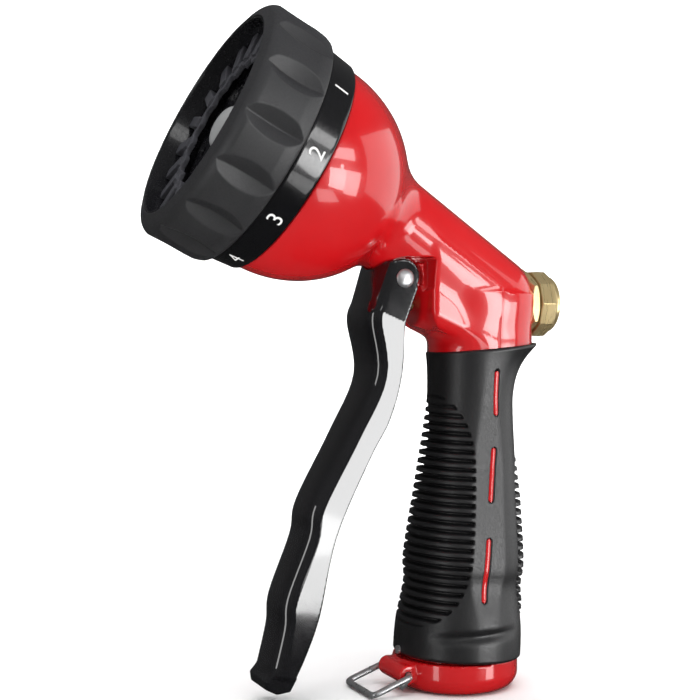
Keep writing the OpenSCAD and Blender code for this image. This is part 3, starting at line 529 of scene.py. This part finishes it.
def gripOuter(turn, w):
    g = gripSet
    r = flared(turn, w)
    front = np.abs(np.mod(turn + math.pi, 2 * math.pi) - math.pi)
    back = math.pi - front
    fade = np.maximum(ramp(w, *g["ribsBelow"]), 0.25) * np.maximum(ramp(w, *g["ribsAbove"]), 0.3)
    r = r - g["ribDepth"] * fade * ribMask(front, w, g["frontField"]) * ribGroove(w, g["frontField"])
    rise = g["backRise"] * ramp(w, *g["riseAbove"]) * ramp(w, *g["riseBelow"])
    groove = (g["ribDepth"] + rise) * ribGroove(w, g["backField"])
    r = r + ribMask(back, w, g["backField"]) * (rise - groove)
    dent = np.exp(-((w - g["dentHigh"] + g["dentSway"] * np.cos(turn)) / g["dentHalf"]) ** 2)
    dent = dent * np.clip(1.3 - np.abs(front - g["dentTurn"]) / g["dentSpread"], 0.0, 1.0)
    r = r - g["dentDepth"] * dent
    across = -r * np.cos(turn) - windowPlace(w)
    half = g["windowWidth"] / 2
    for low, high in g["windows"]:
        mid = np.clip(w, low + half, high - half)
        near = np.hypot(across, w - mid) - half
        r = r - g["windowDepth"] * np.clip(0.5 - near / 0.3, 0.0, 1.0)
    lip = np.minimum(w - g["low"], g["high"] - w)
    return r - g["endRound"] * np.clip(1.0 - lip / 0.8, 0.0, 1.0) ** 2


def makeGrip():
    g = gripSet
    turns = np.linspace(0, 2 * math.pi, g["rounds"], endpoint=False)
    levels = np.linspace(g["low"], g["high"], g["levels"])
    t, w = np.meshgrid(turns, levels)
    outer = gripOuter(t, w)
    inner = np.minimum(gripRadius(np.minimum(w, g["innerTop"])) - g["wall"], outer - 0.5)
    share = ramp(w, g["flareStart"], g["high"])
    rows = []
    for r, turned, level, part in ((outer, t, w, share), (inner[::-1], t[::-1], w[::-1], share[::-1])):
        across = -r * np.cos(turned)
        top = (seamHeight(across + level * leanSin) + across * leanSin) / leanCos - g["high"]
        rows.append(np.stack([r * np.sin(turned), across, level + top * part ** 2], axis=2))
    grid = np.concatenate(rows)
    count, across = grid.shape[0], grid.shape[1]
    faces = []
    for i in range(count):
        a, b = i * across, ((i + 1) % count) * across
        for k in range(across):
            m = (k + 1) % across
            faces.append((a + k, a + m, b + m, b + k))
    sleeve = fromHandle(grid.reshape(-1, 3))
    addPiece("grip_rubber_sleeve", sleeve, faces, "body", "grip_rubber", ["grip_sleeve"])
    for i, (low, high) in enumerate(g["windows"]):
        for way in (1, -1):
            makeWindowBar("window_bar_%d_%s" % (i + 1, "right" if way > 0 else "left"), low, high, way)


def makeWindowBar(name, low, high, way):
    # painted bar of the casting that fills a window, slightly crowned and just below the rubber
    half, length, across = gripSet["windowWidth"] / 2, 40, 7
    pts, faces = [], []
    for i in range(length + 1):
        w = low + (high - low) * i / length
        endRoom = min(w - low, high - w)
        wide = half * math.sqrt(max(1.0 - max(half - endRoom, 0.0) ** 2 / half ** 2, 0.01))
        for k in range(across):
            u = -1.0 + 2.0 * k / (across - 1)
            v = windowPlace(w) + wide * u
            rise = gripOuterPlain(w, v) - gripSet["barSunk"] - gripSet["barCrown"] * u * u
            pts.append((way * math.sqrt(max(rise * rise - v * v, 1.0)), v, w))
    for i in range(length):
        for k in range(across - 1):
            a = i * across + k
            quad = (a, a + 1, a + across + 1, a + across)
            faces.append(quad if way > 0 else quad[::-1])
    addPiece(name, fromHandle(pts), faces, "body", "red_enamel")


def gripOuterPlain(w, v):
    # the sleeve's reach without ribs or slots, at height w and v behind the handle's axis
    reach = float(gripRadius(min(w, gripSet["straightTop"])))
    turn = np.array([math.acos(max(-1.0, min(1.0, -v / reach)))])
    return float(flared(turn, np.array([w]))[0])


makeGrip()
print("grip and windows made")

# the lever: one bent sheet with a crowned web, rounded front corners and eyes, all measured from the pivot
leverSet = {
    "front": [(-36.4, -101.5), (-33.7, -90.2), (-32.9, -82.2), (-27.1, -67.2), (-25.3, -58.2), (-15.6, -40.2),
              (-8.5, -25.2), (-10.4, -11.2), (-8.7, -5.2), (-7.0, 0.6), (-5.9, 4.2)],
    "back": [(-29.5, -103.4), (-26.4, -97.2), (-22.7, -87.2), (-18.2, -67.2), (-9.0, -47.2), (-3.5, -37.2),
             (-0.2, -25.2), (0.2, -12.2)],
    "behind": [(-2.4, 16.0), (60.0, 16.0), (60.0, -120.0), (-38.0, -112.0)],
    "webBack": [(-2.4, 3.6), (-4.8, -7.0)],
    "ear": [(-5.9, 4.2), (-7.0, 0.6), (-8.7, -5.2), (-10.4, -11.2), (0.2, -12.2), (4.0, -2.4), (2.0, 4.4),
            (-1.0, 5.0)],
    "lip": [(-34.8, -100.4), (-37.2, -103.0), (-36.8, -105.4), (-34.0, -106.8), (-30.4, -106.4),
            (-28.6, -103.2), (-29.5, -99.0)],
    "eye": (-0.2, 0.6), "eyeRadius": 4.5, "lipRound": 0.7, "barrelRoom": 13.5,
    "sheet": 2.0, "topHalf": 9.2, "bend": 3.0, "crown": 1.0,
    "crease": (-8.3, -8.1), "creaseTurn": 22.9, "drawIn": 1.1, "drawLength": 25.0, "drawSlope": 0.0085,
    "cell": 0.4,
}
leverFront = curveThrough(leverSet["front"], 6)
leverOutline = np.vstack([leverFront, leverSet["webBack"], curveThrough(leverSet["back"], 6)[::-1]])
leverBehind = np.vstack([leverFront, leverSet["behind"]])


def leverField(x, y, z):
    c = leverSet
    py, pz = y - pivot[0], z - pivot[1]
    side = np.abs(x)
    # the cheeks draw together below a slanting crease under the eyes
    fold = math.radians(c["creaseTurn"])
    below = -(py - c["crease"][0]) * math.sin(fold) - (pz - c["crease"][1]) * math.cos(fold)
    below = np.maximum(below, 0.0)
    half = c["topHalf"] - c["drawIn"] * (1.0 - np.exp(-below / c["drawLength"])) - c["drawSlope"] * below
    depth = -polyDistance(py, pz, leverBehind) - c["crown"] * (side / half) ** 2
    outer = roundMax(-depth, side - half, c["bend"])
    sheet = softMax(outer, -(outer + c["sheet"]), 0.3)
    eye = np.hypot(py - c["eye"][0], pz - c["eye"][1]) - c["eyeRadius"]
    ear = np.minimum(polyDistance(py, pz, c["ear"]), eye)
    ear = np.maximum(ear, half - c["sheet"] - side)
    lever = softMax(sheet, softMin(polyDistance(py, pz, leverOutline), ear, 1.0), 0.45)
    # the web stays clear of the barrel's underside
    slope = math.radians(castingSet["barrelSlope"])
    ey, ez = castingSet["barrelEnd"]
    off = (y - ey) * math.sin(slope) + (z - ez) * math.cos(slope)
    lever = np.maximum(lever, -np.maximum(np.hypot(x, off) - c["barrelRoom"], side - castingSet["lugHalf"]))
    lip = roundMax(polyDistance(py, pz, c["lip"]), side - half + c["lipRound"], c["lipRound"])
    return softMin(lever, lip, 0.8)


points, faces, normals = fieldSurface(leverField, (-10, -59, 2), (10, -14, 116.5), leverSet["cell"])
addPiece("lever_pressing", points, faces, "trigger", "black_enamel", ["trigger_lever"], normals)
print("lever:", len(points), "points")

# rivet: low domed heads set on the eyes
rivetSet = {"shank": 1.75, "head": 2.5, "dome": 1.0, "rim": 0.15, "half": 9.2}


def domeLine(radius, low, rise, count, power=1.0):
    # quarter of a dome from its rim to a point just off the axis
    turns = np.linspace(0, math.pi / 2, count)
    line = [(radius * math.cos(a), low + rise * math.sin(a) ** power) for a in turns]
    line[-1] = (0.001, line[-1][1])
    return line


def makeRivet():
    c = rivetSet
    dome = domeLine(c["head"], c["half"] + c["rim"], c["dome"] - c["rim"], 14)
    right = [(c["shank"], 0.0), (c["shank"], c["half"]), (c["head"] - 0.1, c["half"])] + dome
    profile = [(r, -a) for r, a in right[::-1]] + right
    pts, faces = spun(profile, 40)
    placed = np.stack([pts[:, 2], pivot[0] + pts[:, 0], pivot[1] + pts[:, 1]], axis=1)
    addPiece("pivot_rivet", placed, faces, "trigger", "steel", ["pivot_pin"])


makeRivet()

# bail: bent wire through the lug, with the cut end showing below it
bailSet = {
    "place": (-17.4, 5.1), "droop": 20.0, "width": 17.0, "reach": 11.7, "wire": 0.85, "bend": 1.5,
    "tail": (0.1, -3.0, -2.9), "tailWire": 0.7, "sides": 14,
}


def tube(path, radius, sides, closed):
    path = np.asarray(path, dtype=float)
    count = len(path)
    pts, faces = [], []
    across = np.array([0.0, 0.0, 1.0])
    for i in range(count):
        ahead = path[(i + 1) % count] if closed or i + 1 < count else path[i]
        behind = path[i - 1] if closed or i else path[i]
        along = (ahead - behind) / np.linalg.norm(ahead - behind)
        first = np.cross(along, across)
        first /= np.linalg.norm(first)
        second = np.cross(along, first)
        for k in range(sides):
            t = 2 * math.pi * k / sides
            pts.append(path[i] + radius * (math.cos(t) * first + math.sin(t) * second))
    for i in range(count if closed else count - 1):
        for k in range(sides):
            m = (k + 1) % sides
            j = (i + 1) % count
            faces.append((i * sides + k, i * sides + m, j * sides + m, j * sides + k))
    return np.array(pts), faces


def makeBail():
    c = bailSet
    half, bend, reach, sides = c["width"] / 2, c["bend"], c["reach"], c["sides"]
    path = []
    corners = [(half - bend, bend, -90), (half - bend, reach - bend, 0),
               (bend - half, reach - bend, 90), (bend - half, bend, 180)]
    for cx, cy, start in corners:
        for k in range(9):
            t = math.radians(start + 90 * k / 8)
            path.append(np.array((cx + bend * math.cos(t), cy + bend * math.sin(t), 0.0)))
    dense = []
    for p, q in zip(path, path[1:] + path[:1]):
        steps = max(1, int(np.linalg.norm(q - p) / 1.2))
        dense += [p + (q - p) * k / steps for k in range(steps)]
    pts, faces = tube(dense, c["wire"], sides, True)
    a = math.radians(c["droop"])
    y, z = -pts[:, 1], pts[:, 2]
    py, pz = c["place"]
    across, up = py + y * math.cos(a) - z * math.sin(a), pz + y * math.sin(a) + z * math.cos(a)
    addPiece("bail_wire", np.stack([pts[:, 0], across, up], axis=1), faces, "bail", "steel", ["lock_bail"])
    start = np.array([half - 0.2, py, pz])
    pts, faces = tube([start, start + np.array(c["tail"])], c["tailWire"], sides, False)
    addPiece("bail_wire_end", pts, faces + [tuple(range(sides, 2 * sides))], "bail", "steel")


makeBail()
print("rivet and bail made")

# brass: hex gland nut and many-sided knob, both chamfered on the lathe
nutSet = {
    "flats": 17.0, "face": 18.7, "thick": 2.6, "chamfer": 9.0, "chamferFrom": 1.0, "chamferSlope": 1.6,
    "chamferLean": 0.53,  # turns the chamfer's slope into a distance
    "neck": 5.0, "neckEnd": 24.3, "inner": 13.7, "plug": 6.95, "bore": 2.56,
    "grooveRadius": 6.2, "groovePlace": 2.35, "grooveHalf": 0.95, "cell": 0.22,
}
knobSet = {
    "corner": 9.35, "flats": 10, "front": 21.6, "back": 28.3, "step": 1.3, "stepRadius": 7.8,
    "socket": 5.06, "socketDepth": 3.0, "bore": 2.56, "boreDepth": 4.3, "cell": 0.2,
}


def foldedFlats(x, z, count, start):
    sector = 2 * math.pi / count
    turn = np.mod(np.arctan2(z, x) - start + sector / 2, sector) - sector / 2
    return np.hypot(x, z) * np.cos(turn)


def nutField(x, y, z):
    c = nutSet
    ring = np.hypot(x, z - valveHeight)
    hexagon = foldedFlats(x, z - valveHeight, 6, 0.0) - c["flats"] / 2
    along = np.abs(y - c["face"] - c["thick"] / 2)
    d = roundMax(hexagon, along - c["thick"] / 2, 0.25)
    cone = ring - c["chamfer"] + (along - c["chamferFrom"]) * c["chamferSlope"]
    d = softMax(d, cone * c["chamferLean"], 0.2)
    neck = np.maximum(roundMax(ring - c["neck"], y - c["neckEnd"], 0.3), c["face"] - y)
    plugEnd = np.maximum(ring - c["plug"], np.maximum(c["inner"] - y, y - c["face"] - 0.5))
    d = np.minimum(softMin(d, neck, 0.3), plugEnd)
    groove = np.maximum(np.abs(ring - c["grooveRadius"]), np.abs(y - c["inner"] - c["groovePlace"]))
    return np.maximum(np.maximum(d, c["bore"] - ring), c["grooveHalf"] - groove)


def knobField(x, y, z):
    c = knobSet
    ring = np.hypot(x, z - valveHeight)
    sector = math.pi / c["flats"]
    sides = foldedFlats(x, z - valveHeight, c["flats"], sector) - c["corner"] * math.cos(sector)
    tail = y - c["back"] + 2 * c["step"]  # past the end of the full flats
    slant = 0.7071  # turns a slope of 45 degrees into a distance
    body = roundMax(roundMax(sides, tail, 0.3), c["front"] - y, 0.3)
    body = softMax(body, (ring - c["corner"] + (tail + 0.4)) * slant, 0.2)
    along = np.abs(y - (c["front"] + c["back"]) / 2) - (c["back"] - c["front"]) / 2
    cap = roundMax(roundMax(sides, ring - c["stepRadius"], 0.2), along, 0.45)
    cone = np.maximum(sides, (ring - c["corner"] + tail) * slant)
    cone = np.maximum(cone, np.maximum(y - c["back"] + c["step"], c["front"] - y + 1.0))
    d = softMin(softMin(body, cap, 0.15), cone, 0.15)
    d = softMax(d, -np.maximum(ring - c["socket"], y - c["front"] - c["socketDepth"]), 0.15)
    return np.maximum(d, -np.maximum(ring - c["bore"], y - c["front"] - c["boreDepth"]))


brassPieces = [
    ("brass_gland_nut", nutField, 10.5, (13.0, 25.0), nutSet["cell"], "body", "gland_nut"),
    ("brass_knob", knobField, 10.0, (20.9, 28.3), knobSet["cell"], "knob", "flow_knob"),
]
for name, field, half, (front, back), cell, body, node in brassPieces:
    low, high = (-half, front, valveHeight - half), (half, back, valveHeight + half)
    points, faces, normals = fieldSurface(field, low, high, cell)
    addPiece(name, points, faces, body, "brass", [node], normals)
print("brass nut and knob made")

# head: soft bezel with pointed scoops, gloss collar with printed numbers, finned dial and grey cap
bezelSet = {
    "inner": 28.4, "outer": 33.2, "back": 8.05, "front": 26.5, "slope": 0.36, "lip": 2.0,
    "cupRadius": 28.75, "cupEnd": 24.05, "waistIn": 1.0, "waistLong": 4.0,
    "scoops": 15, "turn": -4.0, "depth": 2.25, "wheel": 24.0, "halfAngle": 60.0, "middle": 16.3, "cell": 0.36,
}


def bezelField(x, n, s):
    c = bezelSet
    r = np.hypot(x, n)
    waist = c["outer"] - c["waistIn"] * ramp(s, c["back"] + c["waistLong"], c["back"]) ** 1.5
    front = (s - c["front"] + c["slope"] * (r - c["inner"])) / math.hypot(1.0, c["slope"])
    d = roundMax(r - waist, front, c["lip"])
    d = roundMax(d, c["back"] - s, 0.8)
    d = roundMax(d, c["inner"] - r, 0.35)
    d = np.maximum(d, -np.maximum(r - c["cupRadius"], s - c["cupEnd"]))
    sector = 2 * math.pi / c["scoops"]
    turn = np.mod(np.arctan2(n, x) - math.radians(c["turn"]) + sector / 2, sector) - sector / 2
    across = np.sqrt((r * np.sin(turn)) ** 2 + 0.03) - 0.17  # the scoop's middle line is slightly rounded
    wheel = np.hypot(r * np.cos(turn) - c["outer"] - c["wheel"] + c["depth"], s - c["middle"])
    half = math.radians(c["halfAngle"])
    scoop = (wheel - c["wheel"] + across / math.tan(half)) * math.sin(half)
    return softMax(d, -scoop, 0.2)


def addHeadPiece(name, field, reach, low, high, cell, slot, stands=(), finish=None):
    points, faces, normals = fieldSurface(field, (-reach, -reach, low), (reach, reach, high), cell)
    addPiece(name, fromHead(points), faces, "dial", slot, stands, normals @ headTurn.T, finish)


bezelCell = bezelSet["cell"]
addHeadPiece("bezel_rubber_ring", bezelField, 34.0, 7.3, 26.8, bezelCell, "bezel_rubber", ["dial_bezel"])

collarSet = {
    "inner": 28.75, "back": 30.0, "front": 30.8, "wide": 8.0, "edge": 0.35,
    "numbers": 10, "height": 4.3, "fontShare": 1.38, "firstAt": 32.0, "inkThick": 0.04,
}


def collarRadius(s):
    return collarSet["back"] + (collarSet["front"] - collarSet["back"]) * s / collarSet["wide"]


def makeCollar():
    c = collarSet
    e, w = c["edge"], c["wide"]
    profile = [(c["inner"], 0.0), (c["back"] - e, 0.0), (collarRadius(e * 0.3) - e * 0.3, e * 0.3)]
    profile += [(collarRadius(s), s) for s in np.linspace(e, w - e, 12)]
    profile += [(c["front"] - e * 0.3, w - e * 0.3), (c["front"] - e, w), (c["inner"], w), (c["inner"], 0.0)]
    pts, faces = spun(profile, 180)
    addPiece("collar_ring", fromHead(pts), faces, "dial", "collar_plastic", ["dial_collar"])
    for i in range(c["numbers"]):
        makeNumber(i)


def makeNumber(i):
    # plain number wrapped on the collar, its top towards the bezel
    c = collarSet
    curve = bpy.data.curves.new("number_%d" % (i + 1), "FONT")
    curve.body = str(i + 1)
    curve.size = c["height"] * c["fontShare"]
    curve.align_x = "CENTER"
    curve.resolution_u = 5
    source = bpy.data.objects.new("number_source", curve)
    bpy.context.scene.collection.objects.link(source)
    bpy.context.view_layer.update()
    flat = bpy.data.meshes.new_from_object(source)
    pts = np.array([v.co for v in flat.vertices])
    faces = [tuple(p.vertices) for p in flat.polygons]
    bpy.data.objects.remove(source)
    bpy.data.meshes.remove(flat)
    centre = math.radians(c["firstAt"] - i * 360 / c["numbers"])
    s = pts[:, 1] + (c["wide"] - c["height"]) / 2
    turn = centre + pts[:, 0] / c["front"]
    r = collarRadius(s) + c["inkThick"]
    wrapped = fromHead(np.stack([r * np.cos(turn), r * np.sin(turn), s], axis=1))
    addPiece("collar_number_%d" % (i + 1), wrapped, faces, "dial", "collar_plastic", finish=printInk)


makeCollar()

dialSet = {
    "cup": 28.7, "lining": 28.3, "liningFrom": 23.9, "back": 1.2, "rim": 26.2, "recess": 27.9, "draft": 0.18,
    "face": 18.5, "floor": 13.5, "troughIn": 20.5, "troughOut": 26.9, "troughFloor": 11.5,
    "fins": 20, "finThick": 3.2, "finTop": 22.3, "barLow": 20.3,
    "ringIn": 18.4, "ringOut": 21.1, "ringTop": 21.7, "ringWave": 0.7,
    "hub": 8.0, "hubTop": 19.5, "screwSeat": 11.3, "screwWell": 4.3, "capSeat": 18.45, "capWell": 6.05,
    # outlets, in turn: jet, slot, ring of six holes, shower
    "pitch": 15.3, "patterns": 10, "jet": 1.4, "slotHalf": (0.6, 2.6), "roseRing": 2.0, "roseHole": 0.55,
    "shower": 2.2, "portWell": 3.6, "cell": 0.36,
}


def dialField(x, n, s):
    c = dialSet
    r = np.hypot(x, n)
    cup = roundMax(r - np.where(s > c["liningFrom"], c["lining"], c["cup"]), s - c["rim"], 0.2)
    cup = roundMax(cup, c["back"] - s, 0.3)
    recess = np.maximum(r - c["recess"] + c["draft"] * (c["rim"] - s), c["face"] - s)
    trough = np.maximum(np.maximum(c["troughIn"] - r, r - c["troughOut"]), c["troughFloor"] - s)
    d = softMax(cup, -np.minimum(recess, trough), 0.35)
    hub = np.maximum(r - c["hub"], np.maximum(s - c["hubTop"], c["floor"] - s))
    d = softMin(d, hub, 0.4)
    step = 2 * math.pi / c["patterns"]
    part = np.floor(np.mod(np.arctan2(n, x) + math.pi / 2 + step / 2, 2 * math.pi) / step)
    local = np.arctan2(n, x) + math.pi / 2 - part * step
    u, t = r * np.cos(local) - c["pitch"], r * np.sin(local)
    port = np.hypot(u, t)
    kind = np.mod(part, 4)
    sixth = np.mod(np.arctan2(t, u) + math.pi / 6, math.pi / 3) - math.pi / 6
    rose = np.hypot(port - c["roseRing"], c["roseRing"] * np.sin(sixth)) - c["roseHole"]
    slot = np.maximum(np.abs(u) - c["slotHalf"][0], np.abs(t) - c["slotHalf"][1])
    outlet = np.where(kind == 2, rose, port - c["shower"])
    outlet = np.where(kind == 0, port - c["jet"], np.where(kind == 1, slot, outlet))
    d = softMax(d, -np.maximum(outlet, c["floor"] - 2.0 - s), 0.2)
    d = np.maximum(d, -np.maximum(port - c["portWell"], s - c["floor"]))
    d = np.maximum(d, -np.maximum(r - c["capWell"], c["capSeat"] - s))
    return np.maximum(d, -np.maximum(r - c["screwWell"], c["screwSeat"] - s))


def barsField(x, n, s):
    # twenty flat bars from the wall to a scalloped ring, with square holes between them
    c = dialSet
    r = np.hypot(x, n)
    sector = 2 * math.pi / c["fins"]
    turn = np.mod(np.arctan2(n, x), sector) - sector / 2
    bar = roundMax(np.abs(r * np.sin(turn)) - c["finThick"] / 2, s - c["finTop"], 0.2)
    bar = np.maximum(bar, np.maximum(c["troughIn"] - 1.0 - r, r - c["troughOut"] - 0.5))
    inner = c["ringIn"] + c["ringWave"] * np.cos(c["fins"] * np.arctan2(n, x))
    ring = roundMax(np.maximum(inner - r, r - c["ringOut"]), s - c["ringTop"], 0.25)
    return np.maximum(np.minimum(bar, ring), c["barLow"] - s)


# the bars take the lighter grey: painted light, standing in for the light that falls on them in the recess
addHeadPiece("dial_bars", barsField, 29.4, 19.5, 23.0, dialSet["cell"], "black_plastic", finish=paintedLightBarPlastic)
addHeadPiece("dial_moulding", dialField, 29.4, 0.5, 26.9, dialSet["cell"], "black_plastic", ["dial_face"])

capSet = {"radius": 5.95, "low": 18.55, "edge": 19.5, "rise": 2.6, "fullness": 0.9}


def makeCap():
    c = capSet
    dome = domeLine(c["radius"], c["edge"], c["rise"], 20, c["fullness"])
    pts, faces = spun([(0.001, c["low"]), (c["radius"], c["low"])] + dome, 64)
    addPiece("grey_cap", fromHead(pts), faces, "dial", "grey_plastic", ["dial_cap"])


makeCap()
print("head made")

# every CAD node gets the finish of its slot, also those that a piece above stands in for
slotNodes = {
    "red_enamel": ["body_casting"],
    "black_enamel": ["trigger_lever"],
    "grip_rubber": ["grip_sleeve"],
    "bezel_rubber": ["dial_bezel"],
    "seal_rubber": ["hose_washer", "stem_o_ring", "valve_washer", "gland_o_ring", "needle_o_ring",
                    "plate_o_ring", "port_seal"],
    "collar_plastic": ["dial_collar"],
    "black_plastic": ["dial_face"],
    "grey_plastic": ["dial_cap"],
    "pale_plastic": ["port_plate"],
    "brass": ["stem_bushing", "valve_seat", "valve_stem", "flow_needle", "gland_nut", "flow_knob"],
    "steel": ["grip_pin", "plate_screws", "seal_spring", "valve_spring", "dial_screw", "dial_washer",
              "pivot_pin", "lock_bail"],
}
for slot, names in slotNodes.items():
    for name in names:
        cadNodes[name].data.materials.clear()
        cadNodes[name].data.materials.append(finishes[slot])
print("CAD nodes finished:", sum(len(names) for names in slotNodes.values()))

# studio: pale paper sweep, soft panels, dim room for the reflections
# matt white paper: faintly clouded, no gloss
mattPaper = {"dark": "#F0F0F0", "pale": "#FAFAFA", "cloudMm": 30.0, "sockets": {"Roughness": 0.9}}
studioSet = {
    "sweepNear": 1.2, "sweepFar": 0.9, "sweepHalf": 1.8, "sweepRound": 0.35, "sweepHigh": 1.6,
    # the room's light grows from below to above and from the left to the right
    "roomUp": 0.15, "roomDown": 0.05, "roomLevel": (-0.4, 0.1), "roomLeft": 0.35, "roomSides": (-1.0, 0.6),
}
panelSet = {
    # place, target, size, power, seen in reflections
    "top_softbox": ((0.1, -0.1, 0.9), (0.0, -0.02, 0.09), (1.2, 1.2), 13.0, False),
    "right_window": ((0.5475, 0.2285, -0.0145), (0.0445, -0.0985, -0.0145), (0.167, 0.201), 0.96, True),
    "right_curtain": ((0.4575, 0.3665, -0.0285), (-0.0455, 0.0395, -0.0285), (0.162, 0.229), 0.7, True),
    "neck_window": ((0.526, 0.261, 0.107), (0.011, -0.006, 0.104), (0.03, 0.042), 0.036, True),
    "back_right_panel": ((0.1, 0.67, 0.17), (0.0, -0.02, 0.1), (0.7, 0.6), 1.5, True),
    "upper_window": ((0.51, 0.26, 0.225), (0.0, -0.06, 0.15), (0.26, 0.1), 0.45, True),
    "dial_glint": ((0.5, -0.08, 0.31), (0.0, -0.07, 0.15), (0.1, 0.14), 0.13, True),
    "floor_card": ((0.23, 0.025, 0.004), (0.23, 0.025, 1.0), (0.1, 0.08), 0.07, True),
    "left_card": ((0.3, -0.55, 0.04), (0.0, 0.0, 0.06), (0.11, 0.42), 0.5, True),
    "back_wash": ((-0.55, 0.1, 0.6), (-0.9, 0.35, 0.3), (1.6, 0.5), 9.0, False),
}


def makeSweep():
    c = studioSet
    turn = math.radians(cameraSet["turn"])
    away = Vector((-math.cos(turn), math.sin(turn), 0.0))
    side = Vector((away.y, -away.x, 0.0))
    bendAt = c["sweepFar"] - c["sweepRound"]
    line = [(-c["sweepNear"], 0.0)]
    for a in np.linspace(0, math.pi / 2, 16):
        line.append((bendAt + c["sweepRound"] * math.sin(a), c["sweepRound"] * (1 - math.cos(a))))
    line.append((c["sweepFar"], c["sweepHigh"]))
    verts, faces = [], []
    for reach, height in line:
        for way in (-1, 1):
            verts.append(tuple(away * reach + side * way * c["sweepHalf"] + Vector((0, 0, height))))
    for i in range(len(line) - 1):
        faces.append((2 * i, 2 * i + 1, 2 * i + 3, 2 * i + 2))
    mesh = bpy.data.meshes.new("paper_sweep")
    mesh.from_pydata(verts, [], faces)
    mesh.polygons.foreach_set("use_smooth", [True] * len(mesh.polygons))
    mesh.materials.append(makeFinish("matt_white_paper", mattPaper))
    sweep = bpy.data.objects.new("paper_sweep", mesh)
    bpy.context.scene.collection.objects.link(sweep)
    sweep.visible_glossy = False


def addPanel(name, place, target, size, power, glossy):
    data = bpy.data.lights.new(name, "AREA")
    data.shape = "RECTANGLE"
    data.size, data.size_y = size
    data.energy = power
    lamp = bpy.data.objects.new(name, data)
    bpy.context.scene.collection.objects.link(lamp)
    aim = Vector(target) - Vector(place)
    lamp.matrix_world = Matrix.Translation(place) @ aim.to_track_quat("-Z", "Y").to_matrix().to_4x4()
    lamp.visible_camera = False
    lamp.visible_glossy = glossy


def makeStudio():
    c = studioSet
    scene = bpy.context.scene
    scene.view_settings.view_transform = "Standard"
    world = bpy.data.worlds.new("studio_room")
    scene.world = world
    world.use_nodes = True
    back = world.node_tree.nodes["Background"]
    back.inputs["Color"].default_value = (1.0, 1.0, 1.0, 1.0)
    place = addNode(world, "ShaderNodeTexCoord").outputs["Generated"]
    split = addNode(world, "ShaderNodeSeparateXYZ", None, {0: place})
    low, high = c["roomLevel"]
    reach = {"From Min": low, "From Max": high, "To Min": c["roomDown"], "To Max": c["roomUp"]}
    shade = addNode(world, "ShaderNodeMapRange", reach, {"Value": split.outputs["Z"]}).outputs[0]
    left, right = c["roomSides"]
    reach = {"From Min": left, "From Max": right, "To Min": c["roomLeft"]}
    side = addNode(world, "ShaderNodeMapRange", reach, {"Value": split.outputs["X"]}).outputs[0]
    both = addNode(world, "ShaderNodeMath", {"operation": "MULTIPLY"}, {0: shade, 1: side})
    world.node_tree.links.new(both.outputs[0], back.inputs["Strength"])
    makeSweep()
    for name, panel in panelSet.items():
        addPanel(name, *panel)


makeStudio()
print("studio lit")
